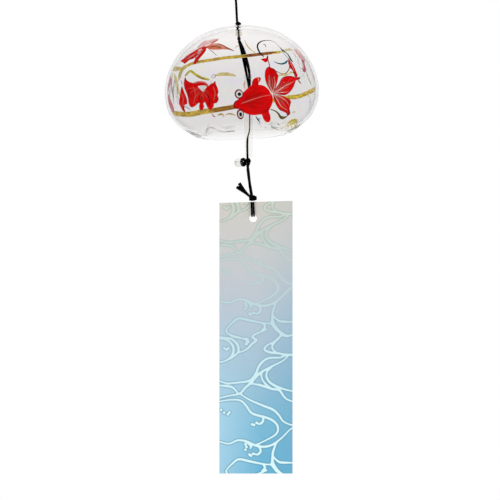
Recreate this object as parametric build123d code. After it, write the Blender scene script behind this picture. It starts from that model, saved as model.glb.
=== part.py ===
from build123d import *
from math import pi, radians, sin, sqrt, tan
import os

# Furin wind bell: a blown glass bell on a black cord, with a glass tube clapper and a paper strip.
# Millimetres, Z up, X to the right as seen from the front, the viewer at -Y.
# The origin is the inside of the hanging loop at its top, where a hook holds the whole bell.

# Cord
cord_diameter = 1.0
strand_spacing = 1.1
knot_clearance = 0.1

# Hanging loop over a hook, and the knot that closes it
loop_top_half_width = 2.2
loop_side_half_width = 5.0
loop_shoulder_drop = 4.1
loop_knot_width = 3.2
loop_knot_depth_z = -33.0
upper_cord_x = -0.5

# Glass bell
bell_top_z = -64.0
bell_diameter = 80.0
bell_height = 56.5
widest_below_top = 33.0
mouth_diameter = 49.4
wall_at_top = 2.0
wall_at_side = 1.2
wall_at_rim = 1.5
bell_hole_diameter = 2.4
rim_waves = 13
rim_wave_depth = 0.7

# Knots and the glass stop bead at the top of the bell
upper_knot_width = 3.0
upper_knot_above_glass = 1.65
stop_bead_diameter = 3.4
stop_bead_bore = 1.6
stop_knot_width = 1.9
running_gap = 0.05

# Glass tube clapper
tube_outer_diameter = 4.2
tube_inner_diameter = 3.0
tube_top = (3.8, -89.2)
tube_bottom = (1.9, -132.2)

# Stopper knot under the tube, and the clear bead tied beside it
stopper_knot_width = 3.5
stopper_knot_at = (1.7, -134.15)
stopper_tail_width = 2.4
stopper_tail_at = (1.3, -136.2)
bead_diameter = 4.8
bead_bore = 1.3
bead_at = (-3.3, -134.4)
bead_ring_at = (-1.1, -134.3)
bead_ring_outer_diameter = 4.2
bead_ring_turn = 58.0

# Strip knot, its cut ends and the loop through the paper
strip_knot_width = 4.3
strip_knot_height = 3.4
strip_knot_at = (2.86, -153.4)
strip_loop_x = 2.5
strip_loop_half_depth = 0.9
strip_loop_fold_radius = 0.85

# Paper strip
strip_width = 38.0
strip_left_of_hole = 17.5
strip_top_left = 7.55
strip_top_right = 8.75
strip_below_hole = 132.55
strip_thickness = 0.45
strip_hole_diameter = 3.6
strip_hole_at = (2.45, -163.65)
strip_tilt = 3.0
strip_loop_above_hole_middle = 1.05

# Enamel painted on the inside of the glass
enamel_thickness = 0.2
enamel_gap = 0.02

cord_radius = cord_diameter / 2
half_strand = strand_spacing / 2
stop_bead_radius = stop_bead_diameter / 2
hole_radius = bell_hole_diameter / 2
stop_bead_z = (
    bell_top_z - wall_at_top - sqrt(stop_bead_radius**2 - hole_radius**2) - running_gap
)
stop_knot_z = stop_bead_z - stop_bead_radius - running_gap - stop_knot_width / 2
rim_z = bell_top_z - bell_height


def corner_radii(points):
    """The radius of each corner of a cord's route: as large as its two runs allow."""
    vectors = [Vector(*p) for p in points]
    radii = []
    for before, here, after in zip(vectors, vectors[1:], vectors[2:]):
        coming = here - before
        going = after - here
        turn = radians(coming.get_angle(going))
        radii.append(0.45 * min(coming.length, going.length) / tan(turn / 2))
    return radii


def cord(name, points, largest_radius=None):
    """A round tube along straight runs joined by tangent arcs."""
    radii = corner_radii(points)
    if largest_radius:
        radii = [min(r, largest_radius) for r in radii]
    path = FilletPolyline(*points, radius=radii) if radii else Polyline(*points)
    section = Plane(origin=path @ 0, z_dir=path % 0) * Circle(cord_radius)
    tube = sweep(section, path=path)
    expected = pi * cord_radius**2 * path.length
    shown = ", ".join(f"{r:.1f}" for r in radii)
    print(f"{name}: length {path.length:.1f}, radii {shown}, volume {tube.volume / expected:.4f} of expected")
    return tube


def knot(width, height, lean):
    """A tight knot: a round core with two crossed wraps of cord."""
    wrap_radius = width / 2 - cord_radius
    core = Sphere(0.4 * width)
    flat_wrap = Torus(wrap_radius, cord_radius)
    leaning_wrap = Rot(0, lean, 0) * Torus(min(wrap_radius, height / 2 - cord_radius), cord_radius)
    return core + flat_wrap + leaning_wrap


def at(place, shape):
    """A shape moved to a place given as x and z."""
    return Pos(place[0], 0, place[1]) * shape


def largest(shape):
    """The largest solid of a shape."""
    return max(shape.solids(), key=lambda solid: solid.volume)


def hanging_loop():
    """A cord loop pulled tight over a hook, its two legs running down to the knot."""
    top = cord_radius
    shoulder = top - loop_shoulder_drop
    leg_end = loop_knot_depth_z + loop_knot_width / 2 + knot_clearance
    left_leg = (upper_cord_x - half_strand, 0, leg_end)
    right_leg = (upper_cord_x + half_strand, 0, leg_end)
    return cord(
        "hanging_loop",
        [
            left_leg,
            (-loop_side_half_width, 0, shoulder),
            (-loop_top_half_width, 0, top),
            (loop_top_half_width, 0, top),
            (loop_side_half_width, 0, shoulder),
            right_leg,
        ],
    )


def loop_knot():
    return at((upper_cord_x, loop_knot_depth_z), Sphere(loop_knot_width / 2))


def upper_knot_z():
    return bell_top_z + upper_knot_above_glass


def upper_knot():
    return at((0, upper_knot_z()), knot(upper_knot_width, 2.7, 55))


def upper_cord():
    """The single taut cord from the loop knot down to the knot above the glass."""
    top = loop_knot_depth_z - loop_knot_width / 2 - knot_clearance
    bottom = upper_knot_z() + 0.5
    whole = cord("upper_cord", [(upper_cord_x, 0, top), (upper_cord_x, 0, bottom)])
    return largest(whole - upper_knot())


def neck_cord():
    """The cord through the hole in the glass and the bore of the stop bead."""
    whole = cord("neck_cord", [(0, 0, upper_knot_z() - 0.6), (0, 0, stop_knot_z + stop_knot_width / 2)])
    return largest(whole - upper_knot())


def stop_bead():
    """A small clear bead under the hole, which carries the glass."""
    bead = Sphere(stop_bead_radius) - Cylinder(stop_bead_bore / 2, stop_bead_diameter)
    return Pos(0, 0, stop_bead_z) * bead


def stop_knot():
    return Pos(0, 0, stop_knot_z) * Sphere(stop_knot_width / 2)


def outer_profile():
    """The outside of the glass, from the hole to the rim, as a smooth curve in X and Z."""
    widest = bell_diameter / 2
    mouth = mouth_diameter / 2
    points = [
        (hole_radius, 0, bell_top_z),
        (0.55 * widest, 0, bell_top_z - 5.1),
        (0.84 * widest, 0, bell_top_z - 15.5),
        (widest, 0, bell_top_z - widest_below_top),
        (0.91 * widest, 0, bell_top_z - 46.5),
        (mouth, 0, rim_z),
    ]
    return Spline(*points, tangents=[(1, 0, -0.03), (-0.82, 0, -0.57)])


def wall(share):
    """The wall's thickness at a share of the way from the hole to the rim."""
    if share < 0.5:
        return wall_at_top + (wall_at_side - wall_at_top) * share / 0.5
    return wall_at_side + (wall_at_rim - wall_at_side) * (share - 0.5) / 0.5


def inner_profile(inset=0.0):
    """The inside of the glass, one wall inside the outer profile, or a little more with an inset."""
    outer = outer_profile()
    points = []
    for step in range(9):
        share = step / 8
        place = outer @ share
        along = outer % share
        inward = Vector(along.Z, 0, -along.X)
        points.append(place + inward * (wall(share) + inset))
    return Spline(*points)


def filled_inside(inset):
    """The space inside the glass, shrunk by an inset, as a solid."""
    profile = inner_profile(inset)
    start = profile @ 0
    end = profile @ 1
    outline = Wire(
        [
            profile,
            Line(end, (0, 0, end.Z)),
            Line((0, 0, end.Z), (0, 0, start.Z)),
            Line((0, 0, start.Z), start),
        ]
    )
    return revolve(Face(outline), Axis.Z)


def rim_scallops():
    """Shallow uneven bites that a hand-cut rim has, as round bars pointing outwards."""
    bar_radius = 6.5
    bars = []
    for number in range(rim_waves):
        turn = 360 * number / rim_waves + 9 * sin(2.3 * number)
        depth = rim_wave_depth * (0.75 + 0.35 * sin(1.7 * number))
        bar = Rot(0, 90, 0) * Cylinder(bar_radius, 16)
        bars.append(Rot(0, 0, turn) * Pos(mouth_diameter / 2, 0, rim_z - bar_radius + depth) * bar)
    return bars


def glass_bell():
    """The blown shell, turned about its axis, with a hole at the top and an uneven open rim."""
    outer = outer_profile()
    inner = inner_profile()
    rim_out = outer @ 1
    rim_in = inner @ 1
    rim_middle = (rim_out + rim_in) / 2 + (outer % 1) * (wall_at_rim / 2)
    outline = Wire(
        [
            outer,
            ThreePointArc(rim_out, rim_middle, rim_in),
            inner,
            Line(inner @ 0, outer @ 0),
        ]
    )
    shell = revolve(Face(outline), Axis.Z)
    return largest(shell - rim_scallops())


def enamel(outline):
    """A thin coat on the inside of the front wall, in the shape of an outline drawn from the front."""
    coat = filled_inside(enamel_gap) - filled_inside(enamel_gap + enamel_thickness)
    block = extrude(Plane.XZ * outline, amount=bell_diameter / 2)
    return coat & block


def leaf(length, width, turn, at_x, at_z):
    """A pointed leaf-like outline growing from a point, turned from pointing right."""
    shape = make_face(
        Curve()
        + ThreePointArc((0, 0), (0.5 * length, 0.5 * width), (length, 0))
        + ThreePointArc((length, 0), (0.5 * length, -0.5 * width), (0, 0))
    )
    return Pos(at_x, at_z) * Rot(0, 0, turn) * shape


def band(points, width):
    """A brush band of even height along points given from left to right."""
    upper_edge = [(x, z + width / 2) for x, z in points]
    lower_edge = [(x, z - width / 2) for x, z in reversed(points)]
    return make_face(Polyline(*upper_edge, *lower_edge, close=True))


def front_goldfish_outline():
    """An oval body, two eyes, side fins and a tail of three lobes."""
    body = Pos(5.8, -107.0) * Rot(0, 0, 23) * Ellipse(9.4, 7.3)
    eyes = [Pos(-1.5, -103.8) * Circle(1.8), Pos(-0.9, -113.8) * Circle(1.8)]
    fins = [leaf(5.4, 3.0, 45, 5.0, -100.5), leaf(6.0, 3.2, -63, 9.0, -112.5)]
    tail = [
        leaf(15.0, 5.4, 96, 15.0, -103.8),
        leaf(17.0, 7.0, 31, 14.6, -103.9),
        leaf(13.0, 6.2, -54, 14.6, -103.0),
    ]
    return Sketch() + [body, *eyes, *fins, *tail]


def left_goldfish_outline():
    """A second goldfish: a body with spread fins and a split tail."""
    body = Pos(-19.8, -104.2) * Rot(0, 0, -10) * Ellipse(5.6, 4.2)
    fins = [
        leaf(11.0, 4.6, 160, -18.2, -100.6),
        leaf(10.5, 4.4, 24, -21.2, -100.6),
        leaf(9.0, 4.6, 235, -19.2, -105.6),
        leaf(9.0, 4.6, 300, -19.7, -105.6),
    ]
    return Sketch() + [body, *fins]


def top_leaves_outline():
    """Leaf strokes near the top at the left."""
    strokes = [
        leaf(14.0, 4.6, 22, -17.2, -79.8),
        leaf(13.0, 4.0, 200, -15.6, -79.6),
        leaf(9.5, 3.2, 226, -16.4, -79.4),
    ]
    return Sketch() + strokes


def ripples_outline():
    """Curling brush strokes at the upper right: an open ring with a trailing stroke."""
    ring = Pos(14.6, -80.4) * Rot(0, 0, -12) * (Ellipse(7.6, 5.0) - Ellipse(6.7, 4.1))
    trail = leaf(10.0, 1.6, -58, 20.6, -79.0)
    return Sketch() + [ring, trail] - front_goldfish_outline()


def bands_outline():
    """Two brush bands that climb to the right, broken where a figure lies over them."""
    upper = band([(-21.4, -86.4), (2.5, -85.2), (21.0, -82.7)], 1.6)
    lower = band([(-33.8, -109.8), (-4.3, -110.3), (23.6, -105.9), (36.8, -99.6)], 2.2)
    figures = [front_goldfish_outline(), left_goldfish_outline(), top_leaves_outline(), ripples_outline()]
    return Sketch() + [upper, lower] - figures


def front_goldfish():
    return enamel(front_goldfish_outline())


def left_goldfish():
    return enamel(left_goldfish_outline())


def top_leaves():
    return enamel(top_leaves_outline())


def brush_ripples():
    return enamel(ripples_outline())


def gold_bands():
    return enamel(bands_outline())


def tube_centre_x(z):
    """Where the leaning clapper tube's axis is at a height."""
    share = (tube_top[1] - z) / (tube_top[1] - tube_bottom[1])
    return tube_top[0] + (tube_bottom[0] - tube_top[0]) * share


def clapper_tube():
    """The glass tube, a little off plumb as it hangs."""
    run = Vector(tube_bottom[0] - tube_top[0], 0, tube_bottom[1] - tube_top[1])
    base = Plane(origin=(tube_top[0], 0, tube_top[1]), z_dir=run)
    ring = base * (Circle(tube_outer_diameter / 2) - Circle(tube_inner_diameter / 2))
    return extrude(ring, amount=run.length)


def clapper_cord():
    """Two strands of cord from the stop knot through the tube to the stopper knot."""
    start = stop_knot_z - stop_knot_width / 2 - knot_clearance
    free = {
        -1: [(-0.2, -0.55, start), (0.7, -0.55, -74.5), (2.0, -0.4, -81.5), (2.95, -0.2, -88.4)],
        1: [(0.3, 0.55, start), (1.8, 0.55, -74.5), (3.5, 0.4, -81.5), (4.65, 0.2, -88.4)],
    }
    inside = {-1: [(0.4, -95.5)], 1: [(0.75, -95.5)]}
    shared = [(0.72, -104.0), (0.6, -112.0), (0.6, -118.0), (-0.72, -121.8), (-0.75, -128.0)]
    strands = []
    for side, route in free.items():
        lower = [(tube_centre_x(z) + offset, side * 0.55, z) for offset, z in inside[side] + shared]
        end = (tube_centre_x(-133.4) - 0.65, side * 0.55, -133.4)
        strand = cord("clapper_cord", [*route, *lower, end])
        strands.append(largest(strand - stopper_knot()))
    return Compound(strands)


def stopper_knot():
    """The knot that the tube rests on, with a narrower lower turn."""
    upper = at(stopper_knot_at, knot(stopper_knot_width, stopper_knot_width, 60))
    lower = at(stopper_tail_at, Sphere(stopper_tail_width / 2))
    return upper + lower


def glass_bead():
    """A clear bead beside the stopper knot, its bore pointing to the knot."""
    bore = Rot(0, 90, 0) * Cylinder(bead_bore / 2, 2 * bead_diameter)
    return at(bead_at, Sphere(bead_diameter / 2) - bore)


def bead_loop():
    """The cord that holds the bead: a peg through its bore and a turn of cord round its end."""
    peg_start = bead_at[0] - 0.8
    peg_length = stopper_knot_at[0] - peg_start
    peg = Pos(peg_start + peg_length / 2, 0, bead_at[1]) * Rot(0, 90, 0) * Cylinder(cord_radius, peg_length)
    ring_radius = bead_ring_outer_diameter / 2 - cord_radius
    ring = at(bead_ring_at, Rot(0, 0, 90 - bead_ring_turn) * Rot(0, 90, 0) * Torus(ring_radius, cord_radius))
    return largest(peg + ring - stopper_knot() - glass_bead())


def lower_cord():
    """Two strands side by side, front and back, from the stopper knot to the strip knot."""
    top = stopper_tail_at[1] - stopper_tail_width / 2 - knot_clearance
    bottom = strip_knot_at[1] + strip_knot_height / 2 + knot_clearance
    strands = []
    for side in (-1, 1):
        shift = 0.12 * side
        strands.append(
            cord(
                "lower_cord",
                [
                    (1.1 + shift, side * half_strand, top),
                    (1.35 + shift, side * half_strand, -142.0),
                    (1.75 - shift, side * half_strand, -147.0),
                    (2.3 - shift, side * half_strand, bottom),
                ],
            )
        )
    return Compound(strands)


def strip_knot():
    """The knot above the paper: a core with turns of cord round a level axis."""
    wrap = Rot(0, 90, 0) * Torus(strip_knot_height / 2 - cord_radius, cord_radius)
    spread = strip_knot_width / 2 - cord_radius
    core = Rot(0, 90, 0) * Cylinder(strip_knot_height / 2 - cord_radius, 2 * spread)
    turns = [Pos(offset, 0, 0) * wrap for offset in (-spread, 0, spread)]
    return at(strip_knot_at, core + turns)


def cord_ends():
    """Two cut ends of cord that stick out of the strip knot, up and to the left."""
    ends = []
    for side, tip in ((-1, (-3.7, -145.3)), (1, (-5.0, -147.0))):
        start = (strip_knot_at[0] - 1.0, 0.62 * side, strip_knot_at[1] + 0.7)
        bend = (-0.6, 0.75 * side, -150.4 + 0.25 * side)
        whole = cord("cord_ends", [start, bend, (tip[0], 0.9 * side, tip[1])])
        ends.append(largest(whole - strip_knot()))
    return Compound(ends)


def strip_loop():
    """Two turns of cord down the front of the paper, through its hole and up behind."""
    top = strip_knot_at[1] - strip_knot_height / 2 - knot_clearance
    fold = strip_hole_at[1] + strip_loop_above_hole_middle
    turns = []
    for side in (-1, 1):
        x = strip_loop_x + side * (cord_radius + 0.03)
        turns.append(
            cord(
                "strip_loop",
                [
                    (x, -strip_loop_half_depth, top),
                    (x, -strip_loop_half_depth, fold),
                    (x, strip_loop_half_depth, fold),
                    (x, strip_loop_half_depth, top),
                ],
                strip_loop_fold_radius,
            )
        )
    return Compound(turns)


def paper_strip():
    """A tall card with a round hole near its top edge, which is cut a little askew."""
    left = -strip_left_of_hole
    right = strip_width - strip_left_of_hole
    outline = make_face(
        Polyline(
            (left, -strip_below_hole),
            (right, -strip_below_hole),
            (right, strip_top_right),
            (left, strip_top_left),
            close=True,
        )
    )
    card = extrude(Plane.XZ * (outline - Circle(strip_hole_diameter / 2)), strip_thickness / 2, both=True)
    return at(strip_hole_at, Rot(0, strip_tilt, 0) * card)


nodes = {
    "hanging_loop": hanging_loop,
    "loop_knot": loop_knot,
    "upper_cord": upper_cord,
    "upper_knot": upper_knot,
    "neck_cord": neck_cord,
    "stop_bead": stop_bead,
    "stop_knot": stop_knot,
    "glass_bell": glass_bell,
    "front_goldfish": front_goldfish,
    "left_goldfish": left_goldfish,
    "top_leaves": top_leaves,
    "gold_bands": gold_bands,
    "brush_ripples": brush_ripples,
    "clapper_cord": clapper_cord,
    "clapper_tube": clapper_tube,
    "stopper_knot": stopper_knot,
    "glass_bead": glass_bead,
    "bead_loop": bead_loop,
    "lower_cord": lower_cord,
    "strip_knot": strip_knot,
    "cord_ends": cord_ends,
    "strip_loop": strip_loop,
    "paper_strip": paper_strip,
}

os.makedirs("parts", exist_ok=True)
for name, make in nodes.items():
    export_step(make(), f"parts/{name}.step")
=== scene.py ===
import bmesh
import bpy
from math import asin, cos, hypot, pi, radians, sin
from mathutils import Matrix, Vector
from mathutils.geometry import delaunay_2d_cdt
import numpy as np


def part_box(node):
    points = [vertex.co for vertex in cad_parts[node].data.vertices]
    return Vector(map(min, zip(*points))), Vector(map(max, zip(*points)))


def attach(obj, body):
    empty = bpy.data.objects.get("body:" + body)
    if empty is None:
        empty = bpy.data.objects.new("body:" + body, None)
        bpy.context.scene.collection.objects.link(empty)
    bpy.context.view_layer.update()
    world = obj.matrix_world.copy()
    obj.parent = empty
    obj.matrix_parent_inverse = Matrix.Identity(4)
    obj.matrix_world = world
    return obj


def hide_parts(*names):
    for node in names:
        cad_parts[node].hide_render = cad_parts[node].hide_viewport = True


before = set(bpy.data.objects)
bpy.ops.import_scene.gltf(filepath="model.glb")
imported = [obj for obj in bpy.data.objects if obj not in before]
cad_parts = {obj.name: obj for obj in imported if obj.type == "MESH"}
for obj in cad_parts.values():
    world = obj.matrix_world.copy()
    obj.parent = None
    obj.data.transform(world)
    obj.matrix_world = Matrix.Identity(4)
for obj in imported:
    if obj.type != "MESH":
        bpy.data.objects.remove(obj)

bl_info = {
    "name": "Furin wind bell",
    "version": (1, 0, 0),
    "blender": (4, 5, 0),
    "location": "View3D > Sidebar > Furin",
    "description": "Blown glass wind bell with painted goldfish, a glass clapper and a paper strip",
    "category": "Object",
}

MM = 0.001


# Sizes and colours

class CordSettings(bpy.types.PropertyGroup):
    """The black cord."""

    diameter: bpy.props.FloatProperty(
        name="Diameter", description="Thickness of the black cord", default=0.0013, unit="LENGTH"
    )
    plies: bpy.props.IntProperty(
        name="Plies", description="Yarns twisted together in the cord", default=3, min=2
    )
    twists: bpy.props.FloatProperty(
        name="Twists", description="Turns of the yarns in a metre of cord", default=330.0
    )
    colour: bpy.props.FloatVectorProperty(
        name="Colour",
        description="Dye of the cord",
        size=3,
        default=(0.0032, 0.0028, 0.0040),
        subtype="COLOR",
    )


class GlassSettings(bpy.types.PropertyGroup):
    """The blown bell."""

    diameter: bpy.props.FloatProperty(
        name="Diameter",
        description="Widest outside measure of the bell",
        default=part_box("glass_bell")[1][0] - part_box("glass_bell")[0][0],
        unit="LENGTH",
    )
    wobble: bpy.props.FloatProperty(
        name="Wobble",
        description="How far the blown walls stray in and out",
        default=0.00011,
        unit="LENGTH",
    )
    wobble_size: bpy.props.FloatProperty(
        name="Wobble size",
        description="Distance from one swell of the wall to the next",
        default=0.016,
        unit="LENGTH",
    )
    rim_wave: bpy.props.FloatProperty(
        name="Rim wave",
        description="How far the cut rim runs up and down",
        default=0.0011,
        unit="LENGTH",
    )
    seed: bpy.props.IntProperty(
        name="Seed", description="Picks another run of the blown unevenness", default=4
    )
    tint: bpy.props.FloatVectorProperty(
        name="Tint",
        description="Colour that the glass lets through",
        size=3,
        default=(0.855, 0.845, 0.838),
        subtype="COLOR",
    )


class PaintSettings(bpy.types.PropertyGroup):
    """The enamel on the glass."""

    thickness: bpy.props.FloatProperty(
        name="Thickness",
        description="Thickness of one coat of paint",
        default=0.00005,
        unit="LENGTH",
    )
    red: bpy.props.FloatVectorProperty(
        name="Red", description="Goldfish red", size=3, default=(1.0, 0.001, 0.002), subtype="COLOR"
    )
    dark_red: bpy.props.FloatVectorProperty(
        name="Dark red",
        description="Outlines of the red figures",
        size=3,
        default=(0.26, 0.002, 0.008),
        subtype="COLOR",
    )
    pink: bpy.props.FloatVectorProperty(
        name="Pink",
        description="Fine lines inside the red figures",
        size=3,
        default=(1.0, 0.50, 0.44),
        subtype="COLOR",
    )
    orange: bpy.props.FloatVectorProperty(
        name="Orange",
        description="Pale leaf at the top",
        size=3,
        default=(0.86, 0.27, 0.14),
        subtype="COLOR",
    )
    gold: bpy.props.FloatVectorProperty(
        name="Gold", description="Brush bands", size=3, default=(0.76, 0.52, 0.09), subtype="COLOR"
    )
    dark: bpy.props.FloatVectorProperty(
        name="Dark",
        description="Fine dark teal brush lines",
        size=3,
        default=(0.006, 0.020, 0.026),
        subtype="COLOR",
    )


class StripSettings(bpy.types.PropertyGroup):
    """The printed paper strip."""

    line_width: bpy.props.FloatProperty(
        name="Line width",
        description="Width of the printed water lines",
        default=0.00112,
        unit="LENGTH",
    )
    repeat: bpy.props.FloatProperty(
        name="Repeat",
        description="Height after which the print starts again",
        default=0.0732,
        unit="LENGTH",
    )
    top: bpy.props.FloatVectorProperty(
        name="Top",
        description="Ground colour at the top edge",
        size=3,
        default=(0.63, 0.61, 0.55),
        subtype="COLOR",
    )
    middle: bpy.props.FloatVectorProperty(
        name="Middle",
        description="Ground colour halfway",
        size=3,
        default=(0.43, 0.56, 0.66),
        subtype="COLOR",
    )
    bottom: bpy.props.FloatVectorProperty(
        name="Bottom",
        description="Ground colour at the bottom edge",
        size=3,
        default=(0.13, 0.46, 0.68),
        subtype="COLOR",
    )


class StageSettings(bpy.types.PropertyGroup):
    """The camera and the floor."""

    distance: bpy.props.FloatProperty(
        name="Distance",
        description="From the camera to the bell's axis",
        default=0.6,
        unit="LENGTH",
    )
    floor_drop: bpy.props.FloatProperty(
        name="Floor drop",
        description="From the strip's lower edge down to the floor",
        default=0.12,
        unit="LENGTH",
    )


# Shared helpers

def new_object(name, mesh):
    """An object in the scene that shows a mesh or a curve."""
    piece = bpy.data.objects.new(name, mesh)
    bpy.context.scene.collection.objects.link(piece)
    return piece


def discard(piece):
    """Takes away a helper object together with its mesh or curve."""
    data = piece.data
    bpy.data.objects.remove(piece)
    if isinstance(data, bpy.types.Mesh):
        bpy.data.meshes.remove(data)
    elif isinstance(data, bpy.types.Curve):
        bpy.data.curves.remove(data)


def mesh_from(name, verts, faces, edges=()):
    """A mesh of the points, faces and edges given."""
    mesh = bpy.data.meshes.new(name)
    mesh.from_pydata(
        [tuple(v) for v in verts], [tuple(e) for e in edges], [tuple(f) for f in faces]
    )
    mesh.update()
    return mesh


def settle(piece, body, nodes):
    """Gives the piece its place in the frame, on what it rides on, and hides the parts it stands for.
    """
    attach(piece, body)
    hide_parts(*nodes)


def in_mm(points):
    """Points given in tenths of a millimetre, in millimetres."""
    return [(x / 10, z / 10) for x, z in points]


def smooth_line(points, closed=False, per_run=8):
    """A smooth line through given points, as many points per run as asked."""
    p = [np.array(q, float) for q in points]
    n = len(p)
    runs = n if closed else n - 1
    line = []
    for i in range(runs):
        a = p[(i - 1) % n] if closed or i > 0 else 2 * p[0] - p[1]
        b = p[i]
        c = p[(i + 1) % n]
        d = p[(i + 2) % n] if closed or i + 2 < n else 2 * p[-1] - p[-2]
        for k in range(per_run):
            t = k / per_run
            squared = (2 * a - 5 * b + 4 * c - d) * t * t
            cubed = (3 * b - a - 3 * c + d) * t**3
            line.append(0.5 * (2 * b + (c - a) * t + squared + cubed))
    if not closed:
        line.append(p[-1])
    return line


def clamped_curve(points, start, end, count):
    """An even-bending curve through points in a plane, with its direction given at both ends."""
    p = np.array(points, float)
    t = np.concatenate([[0], np.cumsum(np.linalg.norm(np.diff(p, axis=0), axis=1))])
    n = len(p)
    h = np.diff(t)
    rows = np.zeros((n, n))
    right = np.zeros((n, 2))
    rows[0, 0] = rows[-1, -1] = 1
    right[0] = np.array(start) / np.linalg.norm(start)
    right[-1] = np.array(end) / np.linalg.norm(end)
    for i in range(1, n - 1):
        rows[i, i - 1] = h[i]
        rows[i, i] = 2 * (h[i - 1] + h[i])
        rows[i, i + 1] = h[i - 1]
        right[i] = 3 * (h[i - 1] * (p[i + 1] - p[i]) / h[i] + h[i] * (p[i] - p[i - 1]) / h[i - 1])
    slope = np.linalg.solve(rows, right)
    line = []
    for s in np.linspace(0, t[-1], count):
        i = min(n - 2, max(0, int(np.searchsorted(t, s, side="right")) - 1))
        u = (s - t[i]) / h[i]
        line.append(
            (2 * u**3 - 3 * u**2 + 1) * p[i]
            + (u**3 - 2 * u**2 + u) * h[i] * slope[i]
            + (3 * u**2 - 2 * u**3) * p[i + 1]
            + (u**3 - u**2) * h[i] * slope[i + 1]
        )
    return np.array(line)


# Node tree helpers

class Tree:
    """Adds nodes to a tree and links them."""

    def __init__(self, tree):
        self.nodes = tree.nodes
        self.links = tree.links

    def add(self, kind, inputs=None, **settings):
        node = self.nodes.new(kind)
        for key, value in settings.items():
            setattr(node, key, value)
        for key, value in (inputs or {}).items():
            socket = node.inputs[key]
            if isinstance(value, bpy.types.NodeSocket):
                self.links.new(value, socket)
            else:
                socket.default_value = value
        return node

    def math(self, operation, first, second=None, third=None):
        inputs = {i: v for i, v in enumerate((first, second, third)) if v is not None}
        return self.add("ShaderNodeMath", inputs, operation=operation).outputs[0]

    def vector(self, operation, first, second=None):
        inputs = {i: v for i, v in enumerate((first, second)) if v is not None}
        return self.add("ShaderNodeVectorMath", inputs, operation=operation).outputs[0]

    def scaled(self, vector, factor):
        inputs = {0: vector, "Scale": factor}
        return self.add("ShaderNodeVectorMath", inputs, operation="SCALE").outputs[0]


def new_tree(name, sockets):
    """A geometry node tree with a geometry input, the named inputs and a geometry output."""
    tree = bpy.data.node_groups.new(name, "GeometryNodeTree")
    tree.interface.new_socket("Geometry", in_out="INPUT", socket_type="NodeSocketGeometry")
    for label, kind, default in sockets:
        socket = tree.interface.new_socket(label, in_out="INPUT", socket_type=kind)
        if default is not None:
            socket.default_value = default
    tree.interface.new_socket("Geometry", in_out="OUTPUT", socket_type="NodeSocketGeometry")
    start = tree.nodes.new("NodeGroupInput")
    end = tree.nodes.new("NodeGroupOutput")
    return tree, Tree(tree), start.outputs, end.inputs


def grow(name, base, tree, values):
    """The mesh that a node tree makes of a base mesh, as a plain object of its own."""
    source = new_object(name + "_source", base)
    modifier = source.modifiers.new("grow", "NODES")
    modifier.node_group = tree
    for item in tree.interface.items_tree:
        if item.item_type == "SOCKET" and item.in_out == "INPUT" and item.name in values:
            modifier[item.identifier] = values[item.name]
    bpy.context.view_layer.update()
    seen = source.evaluated_get(bpy.context.evaluated_depsgraph_get())
    mesh = bpy.data.meshes.new_from_object(seen)
    mesh.name = name
    source.modifiers.clear()
    discard(source)
    if not mesh.polygons:
        raise RuntimeError(f"{name}: the node tree made no faces")
    return mesh


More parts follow.
